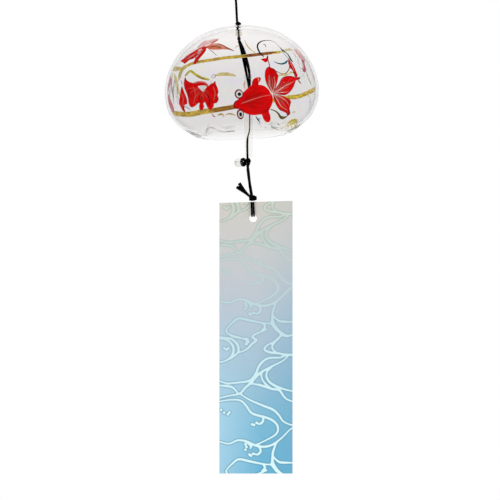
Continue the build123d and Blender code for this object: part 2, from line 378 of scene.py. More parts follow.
def turned_glass_tree():
    """A closed outline in X and Z, turned about the Z axis, then made uneven as blown glass is."""
    tree, t, given, out = new_tree(
        "turned_glass",
        [
            ("Segments", "NodeSocketInt", 96),
            ("Wobble", "NodeSocketFloat", 0.0),
            ("Wobble Size", "NodeSocketFloat", 0.016),
            ("Rim Wave", "NodeSocketFloat", 0.0),
            ("Rim Waves", "NodeSocketFloat", 2.1),
            ("Rim Height", "NodeSocketFloat", 0.0),
            ("Rim Fade", "NodeSocketFloat", 0.008),
            ("Seed", "NodeSocketFloat", 0.0),
            ("Material", "NodeSocketMaterial", None),
        ],
    )
    ring_radius = 0.02
    between_walls = 0.05
    middle_of_wave = 0.42
    wave_gain = 4.0
    outline = t.add("GeometryNodeMeshToCurve", {"Mesh": given["Geometry"]}).outputs[0]
    place = t.add("GeometryNodeInputPosition").outputs[0]
    xyz = t.add("ShaderNodeSeparateXYZ", {0: place}).outputs
    lying = t.add(
        "ShaderNodeCombineXYZ",
        {"X": t.math("SUBTRACT", xyz[0], ring_radius), "Y": t.math("MULTIPLY", xyz[2], -1.0)},
    ).outputs[0]
    outline = t.add("GeometryNodeSetPosition", {"Geometry": outline, "Position": lying}).outputs[0]
    ring = t.add(
        "GeometryNodeCurvePrimitiveCircle", {"Resolution": given["Segments"], "Radius": ring_radius}
    ).outputs[0]
    glass = t.add("GeometryNodeCurveToMesh", {"Curve": ring, "Profile Curve": outline}).outputs[0]

    here = t.add("GeometryNodeInputPosition").outputs[0]
    normal = t.add("GeometryNodeInputNormal").outputs[0]
    apart = t.vector("ADD", here, t.scaled(normal, between_walls))
    swells = t.math("DIVIDE", 1.0, given["Wobble Size"])
    noise = t.add(
        "ShaderNodeTexNoise",
        {"Vector": apart, "W": given["Seed"], "Scale": swells, "Detail": 1.5},
        noise_dimensions="4D",
    ).outputs[0]
    reach = t.math("MULTIPLY", given["Wobble"], 2.0)
    swell = t.scaled(normal, t.math("MULTIPLY", t.math("SUBTRACT", noise, 0.5), reach))
    glass = t.add("GeometryNodeSetPosition", {"Geometry": glass, "Offset": swell}).outputs[0]

    around = t.add("GeometryNodeInputPosition").outputs[0]
    parts = t.add("ShaderNodeSeparateXYZ", {0: around}).outputs
    flat = t.add("ShaderNodeCombineXYZ", {"X": parts[0], "Y": parts[1]}).outputs[0]
    direction = t.vector("NORMALIZE", flat)
    wave = t.add(
        "ShaderNodeTexNoise",
        {"Vector": direction, "W": given["Seed"], "Scale": given["Rim Waves"], "Detail": 1.0},
        noise_dimensions="4D",
    ).outputs[0]
    from_rim = t.math("SUBTRACT", parts[2], given["Rim Height"])
    glass = t.add(
        "GeometryNodeStoreNamedAttribute",
        {"Geometry": glass, "Name": "from_rim", "Value": from_rim},
        data_type="FLOAT",
        domain="POINT",
    ).outputs[0]
    near_rim = t.add(
        "ShaderNodeMapRange",
        {
            "Value": parts[2],
            "From Min": t.math("ADD", given["Rim Height"], given["Rim Fade"]),
            "From Max": given["Rim Height"],
        },
        interpolation_type="SMOOTHSTEP",
    ).outputs[0]
    up_and_down = t.math("MULTIPLY", t.math("SUBTRACT", wave, middle_of_wave), near_rim)
    rise = t.math("MULTIPLY", up_and_down, given["Rim Wave"])
    lift = t.add("ShaderNodeCombineXYZ", {"Z": t.math("MULTIPLY", rise, wave_gain)}).outputs[0]
    glass = t.add("GeometryNodeSetPosition", {"Geometry": glass, "Offset": lift}).outputs[0]

    glass = t.add("GeometryNodeSetShadeSmooth", {"Geometry": glass}).outputs[0]
    glass = t.add("GeometryNodeRealizeInstances", {"Geometry": glass}).outputs[0]
    finished = {"Geometry": glass, "Material": given["Material"]}
    glass = t.add("GeometryNodeSetMaterial", finished).outputs[0]
    t.links.new(glass, out[0])
    return tree


def twisted_cord_tree():
    """Each line of edges becomes a cord of yarns that wind round each other along it."""
    tree, t, given, out = new_tree(
        "twisted_cord",
        [
            ("Diameter", "NodeSocketFloat", 0.001),
            ("Plies", "NodeSocketInt", 3),
            ("Twists", "NodeSocketFloat", 330.0),
            ("Step", "NodeSocketFloat", 0.0003),
            ("Material", "NodeSocketMaterial", None),
        ],
    )
    yarn_offset = 0.22
    yarn_radius = 0.3
    line = t.add("GeometryNodeMeshToCurve", {"Mesh": given["Geometry"]}).outputs[0]
    line = t.add(
        "GeometryNodeResampleCurve", {"Curve": line, "Length": given["Step"]}, mode="LENGTH"
    ).outputs[0]
    inputs = {"Geometry": line, "Amount": given["Plies"]}
    copies = t.add("GeometryNodeDuplicateElements", inputs, domain="SPLINE")
    along = t.add("GeometryNodeSplineParameter").outputs["Length"]
    share = t.math("DIVIDE", copies.outputs[1], given["Plies"])
    angle = t.math("MULTIPLY", t.math("MULTIPLY_ADD", along, given["Twists"], share), 2 * pi)
    normal = t.add("GeometryNodeInputNormal").outputs[0]
    tangent = t.add("GeometryNodeInputTangent").outputs[0]
    across = t.vector("CROSS_PRODUCT", tangent, normal)
    fore = t.scaled(normal, t.math("COSINE", angle))
    beside = t.scaled(across, t.math("SINE", angle))
    stout = t.add(
        "GeometryNodeInputNamedAttribute", {"Name": "stoutness"}, data_type="FLOAT"
    ).outputs[0]
    offset = t.math("MULTIPLY", t.math("MULTIPLY", given["Diameter"], yarn_offset), stout)
    aside = t.scaled(t.vector("ADD", fore, beside), offset)
    yarns = t.add(
        "GeometryNodeSetPosition", {"Geometry": copies.outputs[0], "Offset": aside}
    ).outputs[0]
    radius = t.math("MULTIPLY", given["Diameter"], yarn_radius)
    section = t.add(
        "GeometryNodeCurvePrimitiveCircle", {"Resolution": 8, "Radius": radius}
    ).outputs[0]
    cord = t.add(
        "GeometryNodeCurveToMesh",
        {"Curve": yarns, "Profile Curve": section, "Scale": stout, "Fill Caps": True},
    ).outputs[0]
    cord = t.add("GeometryNodeSetShadeSmooth", {"Geometry": cord}).outputs[0]
    cord = t.add("GeometryNodeRealizeInstances", {"Geometry": cord}).outputs[0]
    finished = {"Geometry": cord, "Material": given["Material"]}
    cord = t.add("GeometryNodeSetMaterial", finished).outputs[0]
    t.links.new(cord, out[0])
    return tree


# Finishes

def new_material(name):
    """A material, its node tree and its main shader."""
    material = bpy.data.materials.new(name)
    material.use_nodes = True
    t = Tree(material.node_tree)
    shader = t.nodes["Principled BSDF"]
    return material, t, shader


def object_noise(t, scale, detail=3.0, stretch=(1, 1, 1), roughness=0.5):
    """Noise in the object's own space; the scale counts swells in a metre."""
    place = t.add("ShaderNodeTexCoord").outputs["Object"]
    turned = t.add("ShaderNodeMapping", {"Vector": place, "Scale": stretch}).outputs[0]
    return t.add(
        "ShaderNodeTexNoise",
        {"Vector": turned, "Scale": scale, "Detail": detail, "Roughness": roughness},
    ).outputs[0]


def spread(t, value, low, high, low_to, high_to):
    """A value between low and high, moved to the range between low_to and high_to."""
    return t.add(
        "ShaderNodeMapRange",
        {"Value": value, "From Min": low, "From Max": high, "To Min": low_to, "To Max": high_to},
    ).outputs[0]


def mixed(t, factor, first, second):
    """Two colours mixed; each may be a fixed colour or a socket."""
    node = t.add("ShaderNodeMix", data_type="RGBA")
    factor_in, first_in, second_in = node.inputs[0], node.inputs[6], node.inputs[7]
    for socket, value in ((factor_in, factor), (first_in, first), (second_in, second)):
        if isinstance(value, bpy.types.NodeSocket):
            t.links.new(value, socket)
        elif socket.type == "RGBA":
            socket.default_value = (*value[:3], 1.0)
        else:
            socket.default_value = value
    return node.outputs[2]


def grey(t, tone):
    """A grey as light as the tone."""
    return t.add("ShaderNodeCombineXYZ", {"X": tone, "Y": tone, "Z": tone}).outputs[0]


def ramp(t, factor, stops):
    """A run of colours, each at its place between 0 and 1."""
    node = t.add("ShaderNodeValToRGB", {0: factor})
    elements = node.color_ramp.elements
    while len(elements) < len(stops):
        elements.new(0.5)
    for element, (place, colour) in zip(elements, stops):
        element.position = place
        element.color = (*colour[:3], 1.0)
    return node.outputs[0]


def bump(t, shader, height, distance, strength=1.0):
    """Fine relief from a height between 0 and 1, as deep as the distance in metres."""
    node = t.add("ShaderNodeBump", {"Height": height, "Distance": distance, "Strength": strength})
    t.links.new(node.outputs[0], shader.inputs["Normal"])


def shades(colour, *factors):
    """The colour made darker or lighter by each factor."""
    return [tuple(min(1.0, c * f) for c in colour) for f in factors]


def cord_finish():
    """Dyed twisted cord: matt, with fibres lying along the yarns."""
    material, t, shader = new_material("dyed_cord")
    colour = bpy.context.scene.furin_cord.colour
    fibres = object_noise(t, 9000.0, 4.0, roughness=0.7)
    dull, plain = shades(colour, 0.5, 1.5)
    t.links.new(mixed(t, fibres, dull, plain), shader.inputs["Base Color"])
    t.links.new(spread(t, fibres, 0.3, 0.7, 0.75, 0.95), shader.inputs["Roughness"])
    shader.inputs["Specular IOR Level"].default_value = 0.0
    bump(t, shader, fibres, 0.00004)
    return material


def glass_finish(name, tint, ior, unevenness, frost=0.0, rim=None, frost_from=None):
    """Clear glass with faint streaks and clouds from the blowing.

    With a rim colour it is the bell's glass: faint hues, a painted highlight that lightens the top, a
    little darker towards the rim, a painted grey edge shade where the wall turns away, and a darker
    lip. With frost_from, a height in metres, it is the tube's glass: painted grey shade on the walls
    where they turn away, and a ground end above that height.
    """
    material, t, shader = new_material(name)
    # Greys of painted shade: at the bell's edge and on the tube's walls.
    painted_edge_shade_grey = (0.58, 0.575, 0.59)
    painted_wall_shade_grey = (0.50, 0.50, 0.51)
    ground_roughness = 0.6
    shader.inputs["Transmission Weight"].default_value = 1.0
    shader.inputs["Coat Weight"].default_value = 0.03
    shader.inputs["Coat Roughness"].default_value = 0.0
    shader.inputs["IOR"].default_value = ior
    streaks = object_noise(t, 60.0, 2.0, stretch=(1, 1, 0.35))
    cool, dull, warm = shades(tint, 1.0, 0.975, 0.99)
    colour = mixed(t, streaks, cool, dull)
    clouds = spread(t, object_noise(t, 150.0, 2.0, roughness=0.6), 0.42, 0.58, 0.0, 1.0)
    colour = mixed(t, t.math("MULTIPLY", clouds, 0.6), colour, (warm[0], warm[1], warm[2] * 0.97))
    if rim:
        lavender, green, pink = (0.84, 0.80, 0.90), (0.80, 0.87, 0.82), (0.90, 0.80, 0.82)
        hues = ramp(t, object_noise(t, 230.0, 1.0), [
            (0.36, lavender), (0.46, tint), (0.52, green), (0.58, tint), (0.66, pink),
        ])
        colour = mixed(t, 0.6, colour, hues)
        above = t.add("ShaderNodeAttribute", attribute_name="from_rim").outputs["Fac"]
        # Painted highlight: the top of the bell is made lighter; towards the rim the glass turns a
        # little darker.
        colour = mixed(t, spread(t, above, 0.034, 0.052, 0.0, 1.0), colour, shades(tint, 1.15)[0])
        colour = mixed(t, spread(t, above, 0.002, 0.012, 1.0, 0.0), colour, shades(tint, 0.98)[0])
        # Painted edge shade: a broken grey where the bell's wall turns away from view.
        edge = t.add("ShaderNodeLayerWeight", {"Blend": 0.5}).outputs["Facing"]
        broken = spread(t, clouds, 0.0, 1.0, 0.4, 0.95)
        outline = t.math("MULTIPLY", spread(t, edge, 0.6, 0.97, 0.0, 1.0), broken)
        colour = mixed(t, outline, colour, painted_edge_shade_grey)
        colour = mixed(t, spread(t, above, -0.0004, 0.0004, 1.0, 0.0), colour, rim)
        t.links.new(spread(t, above, 0.0006, 0.0045, 0.3, 1.0), shader.inputs["Alpha"])
    fine = object_noise(t, 900.0, 2.0)
    roughness = spread(t, fine, 0.55, 0.8, frost, frost + 0.04)
    if frost_from:
        # Painted shade: the tube's walls turn grey where they turn away from view.
        edge = t.add("ShaderNodeLayerWeight", {"Blend": 0.5}).outputs["Facing"]
        colour = mixed(t, spread(t, edge, 0.5, 0.95, 0.0, 0.75), colour, painted_wall_shade_grey)
        above = t.add("ShaderNodeAttribute", attribute_name="from_rim").outputs["Fac"]
        ground_end = spread(t, above, frost_from, frost_from + 0.0008, 0.0, ground_roughness)
        roughness = t.math("MAXIMUM", roughness, ground_end)
    t.links.new(colour, shader.inputs["Base Color"])
    t.links.new(roughness, shader.inputs["Roughness"])
    bump(t, shader, streaks, unevenness)
    return material


def paint_finish(name, colour, light=1.25, dark=0.7, gloss=0.35, cover=1.0):
    """Enamel put on with a brush, in thick and thin streaks, see-through where the cover is low."""
    material, t, shader = new_material(name)
    shader.inputs["Specular IOR Level"].default_value = 0.03
    streaks = object_noise(t, 420.0, 4.0, stretch=(1, 1, 1.6), roughness=0.6)
    thin, thick = shades(colour, light, dark)
    colour = mixed(t, spread(t, streaks, 0.35, 0.65, 0.0, 1.0), thin, thick)
    t.links.new(colour, shader.inputs["Base Color"])
    t.links.new(spread(t, streaks, 0.3, 0.7, gloss, gloss + 0.2), shader.inputs["Roughness"])
    if cover < 1.0:
        patches = object_noise(t, 260.0, 3.0, stretch=(1, 1, 0.6), roughness=0.6)
        opacity = spread(t, patches, 0.35, 0.65, cover * 0.35, min(1.0, cover * 1.5))
        t.links.new(opacity, shader.inputs["Alpha"])
    bump(t, shader, streaks, 0.00003)
    return material


# Camera, light and ground

def aim(lamp, target):
    """Turns a lamp towards a place."""
    lamp.rotation_mode = "QUATERNION"
    lamp.rotation_quaternion = (Vector(target) - lamp.location).to_track_quat("-Z", "Y")


def soft_light(name, place, target, width, height, power):
    """A broad studio lamp that points at a place."""
    data = bpy.data.lights.new(name, "AREA")
    data.shape = "RECTANGLE"
    data.size = width
    data.size_y = height
    data.energy = power
    lamp = bpy.data.objects.new(name, data)
    lamp.location = place
    aim(lamp, target)
    bpy.context.scene.collection.objects.link(lamp)
    return lamp


def ray_kinds(t):
    """Which rays show the background: straight, in a reflection, and through glass."""
    path = t.add("ShaderNodeLightPath").outputs
    return path["Is Camera Ray"], path["Is Glossy Ray"], path["Is Transmission Ray"]


def round_floor(low, reach=3.0, rings=24, sides=64):
    """A flat round floor, finer towards its middle."""
    verts = [(0, 0, low)]
    faces = [(0, 1 + k, 1 + (k + 1) % sides) for k in range(sides)]
    for ring in range(1, rings + 1):
        radius = reach * (ring / rings) ** 2
        for k in range(sides):
            angle = 2 * pi * k / sides
            verts.append((radius * cos(angle), radius * sin(angle), low))
    for ring in range(1, rings):
        a = 1 + (ring - 1) * sides
        b = a + sides
        for k in range(sides):
            n = (k + 1) % sides
            faces.append((a + k, b + k, b + n, a + n))
    return mesh_from("floor", verts, faces)


class FURIN_OT_set_stage(bpy.types.Operator):
    """Camera at the photograph's place, soft white light, and a pale floor well below the strip."""

    bl_idname = "furin.set_stage"
    bl_label = "Set stage"

    def execute(self, context):
        stage = context.scene.furin_stage
        scene = context.scene
        scene.view_settings.view_transform = "Standard"

        roll = radians(3.0)
        camera_height = -0.180
        seen_width = 0.25975
        sensor_width = 36.0
        camera = bpy.data.objects.new("camera", bpy.data.cameras.new("camera"))
        scene.collection.objects.link(camera)
        right = Vector((cos(roll), 0, -sin(roll)))
        up = Vector((sin(roll), 0, cos(roll)))
        turn = Matrix((right, up, Vector((0, -1, 0)))).transposed()
        stand = Matrix.Translation((0, -stage.distance, camera_height))
        camera.matrix_world = stand @ turn.to_4x4()
        camera.data.sensor_width = sensor_width
        camera.data.lens = sensor_width * stage.distance / seen_width
        camera.data.clip_start = 0.01
        camera.data.clip_end = 20.0
        scene.camera = camera

        world = bpy.data.worlds.new("studio")
        world.use_nodes = True
        t = Tree(world.node_tree)
        sky = t.nodes["Background"]
        straight, mirrored, through = ray_kinds(t)
        direction = t.add("ShaderNodeTexCoord").outputs["Generated"]
        fore = t.add("ShaderNodeSeparateXYZ", {0: direction}).outputs[1]
        mirror_grey = grey(t, spread(t, fore, -0.25, 0.6, 0.06, 1.0))
        tone = mixed(t, mirrored, (0.72, 0.72, 0.73), mirror_grey)
        tone = mixed(t, t.math("MAXIMUM", straight, through), tone, (1.0, 1.0, 1.0))
        t.links.new(tone, sky.inputs["Color"])
        scene.world = world

        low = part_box("paper_strip")[0][2] - stage.floor_drop
        floor = new_object("floor", round_floor(low))
        material, t, shader = new_material("pale_floor")
        shader.inputs["Base Color"].default_value = (0.9, 0.9, 0.9, 1.0)
        shader.inputs["Roughness"].default_value = 0.8
        place = t.add("ShaderNodeTexCoord").outputs["Object"]
        flat = t.vector("MULTIPLY", place, (1.0, 1.0, 0.0))
        from_axis = t.add("ShaderNodeVectorMath", {0: flat}, operation="LENGTH").outputs["Value"]
        far = spread(t, from_axis, 0.22, 0.42, 0.0, 1.0)
        straight, mirrored, through = ray_kinds(t)
        near_or_far = t.math("MAXIMUM", far, 0.75)
        glass_sees = t.math("MULTIPLY", t.math("MAXIMUM", mirrored, through), near_or_far)
        whiteness = t.math("MAXIMUM", t.math("MULTIPLY", far, straight), glass_sees)
        white = t.add("ShaderNodeEmission", {"Color": (1, 1, 1, 1), "Strength": 1.0}).outputs[0]
        mix = t.add("ShaderNodeMixShader", {0: whiteness, 1: shader.outputs[0], 2: white})
        t.links.new(mix.outputs[0], t.nodes["Material Output"].inputs["Surface"])
        floor.data.materials.append(material)

        middle = (0, 0, -0.15)
        key = soft_light("key_light", (-0.7, -0.9, 0.55), middle, 0.7, 0.7, 6.0)
        key.visible_glossy = False
        key.visible_transmission = False
        soft_light("side_light", (1.0, -0.5, -0.05), middle, 0.12, 0.8, 2.0)
        return {"FINISHED"}


# Cords

# Places, in millimetres: the middles of the upper knots, and the clapper tube's ends in X and Z.
LOOP_KNOT = (-0.5, 0, -33.0)
UPPER_KNOT = (0, 0, -62.4)
STOP_KNOT = (0, 0, -69.954)
TUBE_TOP = (3.8, -89.2)
TUBE_BOTTOM = (1.9, -132.2)
BEAD_HEIGHT = -134.4
CORD_STEP = 0.0003


def tube_x(z):
    """Where the leaning clapper tube's axis is at a height, in millimetres."""
    lean = TUBE_BOTTOM[0] - TUBE_TOP[0]
    return TUBE_TOP[0] + lean * (TUBE_TOP[1] - z) / (TUBE_TOP[1] - TUBE_BOTTOM[1])


def clapper_route(side):
    """One of the two strands from the stop knot through the tube to the stopper knot."""
    top = STOP_KNOT[2] - 1.05
    if side < 0:
        free = [(-0.2, -0.55, top), (0.7, -0.55, -74.5), (2.0, -0.4, -81.5), (2.95, -0.2, -88.4)]
        inside = [(0.4, -95.5)]
    else:
        free = [(0.3, 0.55, top), (1.8, 0.55, -74.5), (3.5, 0.4, -81.5), (4.65, 0.2, -88.4)]
        inside = [(0.75, -95.5)]
    inside += [(0.72, -104.0), (0.6, -112.0), (0.6, -118.0), (-0.72, -121.8), (-0.75, -128.0)]
    lower = [(tube_x(z) + offset, side * 0.55, z) for offset, z in inside]
    return free + lower + [(tube_x(-133.4) - 0.65, side * 0.55, -133.4)]


def lower_route(side):
    """One of the two strands from the stopper knot to the strip knot."""
    shift = 0.12 * side
    return [
        (1.1 + shift, side * 0.55, -137.5),
        (1.35 + shift, side * 0.55, -142.0),
        (1.75 - shift, side * 0.55, -147.0),
        (2.3 - shift, side * 0.55, -151.6),
    ]


def strip_turn(x):
    """One turn of cord down the paper's front, through its hole and up behind to the knot."""
    down = [(-0.9, -155.2), (-0.9, -158.5), (-0.9, -161.6), (-0.72, -162.45)]
    up = [(-y, z) for y, z in reversed(down)]
    return [(x, y, z) for y, z in down + up]


ROUTES = {
    "loop_run": [
        (-1.05, 0, -31.3),
        (-5.0, 0, -3.6),
        (-2.2, 0, 0.5),
        (2.2, 0, 0.5),
        (5.0, 0, -3.6),
        (0.05, 0, -31.3),
    ],
    "upper_run": [(-0.5, 0, -34.7), (-0.5, 0, -61.4)],
    "neck_run": [(0, 0, -62.6), (0, 0, -69.2)],
    "clapper_strand_front": clapper_route(-1),
    "clapper_strand_back": clapper_route(1),
    "lower_strand_front": lower_route(-1),
    "lower_strand_back": lower_route(1),
    "cord_end_front": [(1.86, -0.62, -152.7), (-0.6, -0.75, -150.65), (-3.7, -0.9, -145.3)],
    "cord_end_back": [(1.86, 0.62, -152.7), (-0.6, 0.75, -150.15), (-5.0, 0.9, -147.0)],
    "strip_turn_left": strip_turn(1.97),
    "strip_turn_right": strip_turn(3.03),
}


def route_line(name, points):
    """Points, in metres, along a smooth cord line with the route's points as its control points."""
    data = bpy.data.curves.new(name + "_route", "CURVE")
    data.dimensions = "3D"
    data.resolution_u = 24
    spline = data.splines.new("NURBS")
    spline.points.add(len(points) - 1)
    for point, place in zip(spline.points, points):
        point.co = (place[0] * MM, place[1] * MM, place[2] * MM, 1.0)
    spline.order_u = min(3, len(points))
    spline.use_endpoint_u = True
    source = new_object(name + "_route", data)
    bpy.context.view_layer.update()
    seen = source.evaluated_get(bpy.context.evaluated_depsgraph_get())
    mesh = bpy.data.meshes.new_from_object(seen)
    line = [tuple(v.co) for v in mesh.vertices]
    bpy.data.meshes.remove(mesh)
    discard(source)
    return line


def twist_cord(name, lines, material, closed=False, stoutness=(1.0,)):
    """A mesh of twisted cord along one or more lines, with its stoutness from start to end."""
    cord = bpy.context.scene.furin_cord
    tree = bpy.data.node_groups.get("twisted_cord") or twisted_cord_tree()
    verts = []
    edges = []
    stout = []
    for line in lines:
        first = len(verts)
        verts += list(line)
        edges += [(first + k, first + k + 1) for k in range(len(line) - 1)]
        share = np.linspace(0, 1, len(line))
        stout += list(np.interp(share, np.linspace(0, 1, len(stoutness)), stoutness))
        if closed:
            edges.append((len(verts) - 1, first))
    base = mesh_from(name + "_lines", verts, [], edges)
    base.attributes.new("stoutness", "FLOAT", "POINT").data.foreach_set("value", stout)
    values = {
        "Diameter": cord.diameter,
        "Plies": cord.plies,
        "Twists": cord.twists,
        "Step": CORD_STEP,
        "Material": material,
    }
    return new_object(name, grow(name, base, tree, values))


class FURIN_OT_lay_cords(bpy.types.Operator):
    """Every run of black cord, from the hanging loop down to the loop through the paper."""

    bl_idname = "furin.lay_cords"
    bl_label = "Lay cords"

    def execute(self, context):
        material = cord_finish()
        # Brushed out above the clapper tube, and thin inside it.
        strand = (
            0.85, 1.05, 1.15, 1.2, 1.25, 1.12, 1.0, 0.9, 0.8, 0.72, 0.65,
            0.55, 0.5, 0.5, 0.5, 0.5, 0.55, 0.86, 0.86, 0.86, 0.86,
        )
        # Each run with its body, its node, its far end, its lay and its stoutness along it.
        runs = [
            ("loop_run", "hanging_loop", "hanging_loop", "knot", "hanging", (0.95,)),
            ("upper_run", "upper_cord", "upper_cord", None, None, (1.0,)),
            ("neck_run", "upper_cord", "neck_cord", None, None, (0.8,)),
            ("clapper_strand_front", "clapper_cord", "clapper_cord", "knot", "taut", strand),
            ("clapper_strand_back", "clapper_cord", "clapper_cord", "knot", "taut", strand),
            ("lower_strand_front", "lower_cord", "lower_cord", None, None, (1.12,)),
            ("lower_strand_back", "lower_cord", "lower_cord", None, None, (1.12,)),
            ("cord_end_front", "strip_knot", "cord_ends", None, None, (1.0, 1.15, 1.45)),
            ("cord_end_back", "strip_knot", "cord_ends", None, None, (1.0, 1.15, 1.45)),
            ("strip_turn_left", "strip_loop", "strip_loop", None, None, (0.74,)),
            ("strip_turn_right", "strip_loop", "strip_loop", None, None, (0.74,)),
        ]
        for name, body, node, far_end, lay, stoutness in runs:
            line = route_line(name, ROUTES[name])
            piece = twist_cord(name, [line], material, stoutness=stoutness)
            settle(piece, body, [node])
        return {"FINISHED"}


def cord_turn(centre, radius, lean_side, lean_fore=0.0, height=0.0, stretch=1.0, count=40):
    """One turn of cord round a knot, leaning to the side and forwards, in metres."""
    tilt = Matrix.Rotation(radians(lean_fore), 3, "X") @ Matrix.Rotation(radians(lean_side), 3, "Y")
    turn = []
    for k in range(count):
        a = 2 * pi * k / count
        place = tilt @ Vector((radius * cos(a), radius * stretch * sin(a), height))
        turn.append(tuple((Vector(centre) + place) * MM))
    return turn


def fill_core(mesh, centre, radii, lean=0.0):
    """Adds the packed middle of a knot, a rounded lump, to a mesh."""
    place = Matrix.Translation(Vector(centre) * MM) @ Matrix.Rotation(radians(lean), 4, "Y")
    place = place @ Matrix.Diagonal((radii[0] * MM, radii[1] * MM, radii[2] * MM, 1.0))
    whole = bmesh.new()
    whole.from_mesh(mesh)
    bmesh.ops.create_icosphere(whole, subdivisions=4, radius=1.0, matrix=place)
    for face in whole.faces:
        face.smooth = True
    whole.to_mesh(mesh)
    whole.free()


# Knots, in millimetres: the body they ride on, the packed cores (middle, radii, lean) and the turns
# of cord round them (middle, radius, lean to the side, lean forwards, height).
KNOTS = {
    "loop_knot": (
        "loop_knot",
        [(LOOP_KNOT, (1.2, 1.2, 1.2))],
        [
            (LOOP_KNOT, 1.05, 0, 0, 0.45),
            (LOOP_KNOT, 1.05, 12, 0, -0.45),
            (LOOP_KNOT, 1.0, 70),
            (LOOP_KNOT, 1.0, -65),
        ],
    ),
    "upper_knot": (
        "upper_cord",
        [(UPPER_KNOT, (1.0, 1.0, 1.15))],
        [
            (UPPER_KNOT, 1.0, 8, 0, 0.2),
            (UPPER_KNOT, 1.0, -14, 0, -0.2),
            (UPPER_KNOT, 0.75, 62),
            (UPPER_KNOT, 0.75, -58),
        ],
    ),
    "stop_knot": (
        "stop_knot",
        [(STOP_KNOT, (0.75, 0.75, 0.8))],
        [(STOP_KNOT, 0.42, 0, 0, 0.28), (STOP_KNOT, 0.42, 14, 0, -0.28), (STOP_KNOT, 0.42, 80)],
    ),
    "stopper_knot": (
        "clapper_cord",
        [((1.55, 0, -133.9), (1.15, 1.1, 1.75), 8), ((1.12, 0, -136.45), (0.78, 0.85, 1.3))],
        [
            ((1.55, 0, -133.5), 1.0, 30),
            ((1.45, 0, -133.9), 1.0, -28, 12),
            ((1.5, 0, -134.3), 1.0, 62),
            ((1.4, 0, -134.6), 0.85, -68),
            ((1.2, 0, -135.6), 0.45, 12),
            ((1.12, 0, -136.4), 0.35, -15),
        ],
    ),
    "strip_knot": (
        "strip_knot",
        [((2.86, 0, -153.3), (1.9, 1.2, 1.2)), ((2.45, 0, -152.2), (0.75, 0.9, 0.7))],
        [
            ((1.45, 0, -153.3), 0.7, 90),
            ((2.15, 0, -153.15), 1.0, 84),
            ((2.95, 0, -153.1), 1.05, 97),
            ((3.6, 0, -153.15), 0.95, 88),
            ((4.4, 0, -153.2), 0.6, 90),
            ((2.86, 0, -153.2), 1.1, 38),
            ((2.7, 0, -153.2), 1.05, -42),
        ],
    ),
}
# The ring of cord that holds the side bead, its turn about the vertical in degrees, and where the
# cord in the bead's bore starts and how far apart its points are.
BEAD_RING = ((-1.1, 0, -134.3), 1.6, 90)
BEAD_RING_TURN = -38.0
BEAD_PEG_START = -2.6
BEAD_PEG_STEP = 0.29


class FURIN_OT_tie_knots(bpy.types.Operator):
    """The knots, each wound from turns of the same cord round a packed core."""

    bl_idname = "furin.tie_knots"
    bl_label = "Tie knots"

    def execute(self, context):
        material = bpy.data.materials["dyed_cord"]
        for name, (body, cores, turns) in KNOTS.items():
            lines = [cord_turn(*turn) for turn in turns]
            piece = twist_cord(name + "_turns", lines, material, closed=True, stoutness=(0.86,))
            for core in cores:
                fill_core(piece.data, *core)
            settle(piece, body, [name])
        hub = Vector(BEAD_RING[0]) * MM
        lean = Matrix.Rotation(radians(BEAD_RING_TURN), 3, "Z")
        ring = [tuple(hub + lean @ (Vector(p) - hub)) for p in cord_turn(*BEAD_RING)]
        held = twist_cord("bead_ring", [ring], material, closed=True, stoutness=(1.2,))
        settle(held, "clapper_cord", ["bead_loop"])
        peg = [
            ((BEAD_PEG_START + BEAD_PEG_STEP * k) * MM, 0.0, BEAD_HEIGHT * MM) for k in range(12)
        ]
        held = twist_cord("bead_peg", [peg], material, stoutness=(0.8,))
        settle(held, "clapper_cord", ["bead_loop"])
        return {"FINISHED"}


# Glass

# In millimetres: heights, walls, the radius that turns a place along the wall into an angle,
# and the radii of the tube and the beads.
BELL_TOP = -64.0
RIM = -120.5
WALL_AT_TOP, WALL_AT_SIDE, WALL_AT_RIM = 2.0, 1.2, 1.5
INSIDE_MEASURE = 38.7
TUBE_BORE_RADIUS, TUBE_RADIUS, TUBE_EDGE = 1.5, 2.1, 0.22
STOP_BEAD_PLACE, STOP_BEAD_RADIUS, STOP_BORE_RADIUS = (0, 0, -67.254), 1.7, 0.8
SIDE_BEAD_PLACE, SIDE_BEAD_RADIUS, SIDE_BORE_RADIUS = (-3.3, 0, BEAD_HEIGHT), 2.4, 0.65


def outer_line(count=61):
    """The outside of the bell as radius and height, in millimetres."""
    half = bpy.context.scene.furin_glass.diameter / MM / 2
    points = [
        (1.2, BELL_TOP),
        (0.55 * half, BELL_TOP - 5.1),
        (0.84 * half, BELL_TOP - 15.5),
        (half, BELL_TOP - 33.0),
        (0.91 * half, BELL_TOP - 46.5),
        (24.7, RIM),
    ]
    return clamped_curve(points, (1, -0.03), (-0.82, -0.57), count)


def wall_at(share):
    """The thickness of the wall, in millimetres, at a share of the way from the hole to the rim."""
    if share < 0.5:
        return WALL_AT_TOP + (WALL_AT_SIDE - WALL_AT_TOP) * share / 0.5
    return WALL_AT_SIDE + (WALL_AT_RIM - WALL_AT_SIDE) * (share - 0.5) / 0.5


def inner_line(count=61):
    """The inside of the bell, one wall inside its outer line."""
    outer = outer_line(count)
    along = np.gradient(outer, axis=0)
    along /= np.linalg.norm(along, axis=1)[:, None]
    inward = np.stack([along[:, 1], -along[:, 0]], axis=1)
    walls = np.array([wall_at(k / (count - 1)) for k in range(count)])
    return outer + inward * walls[:, None]


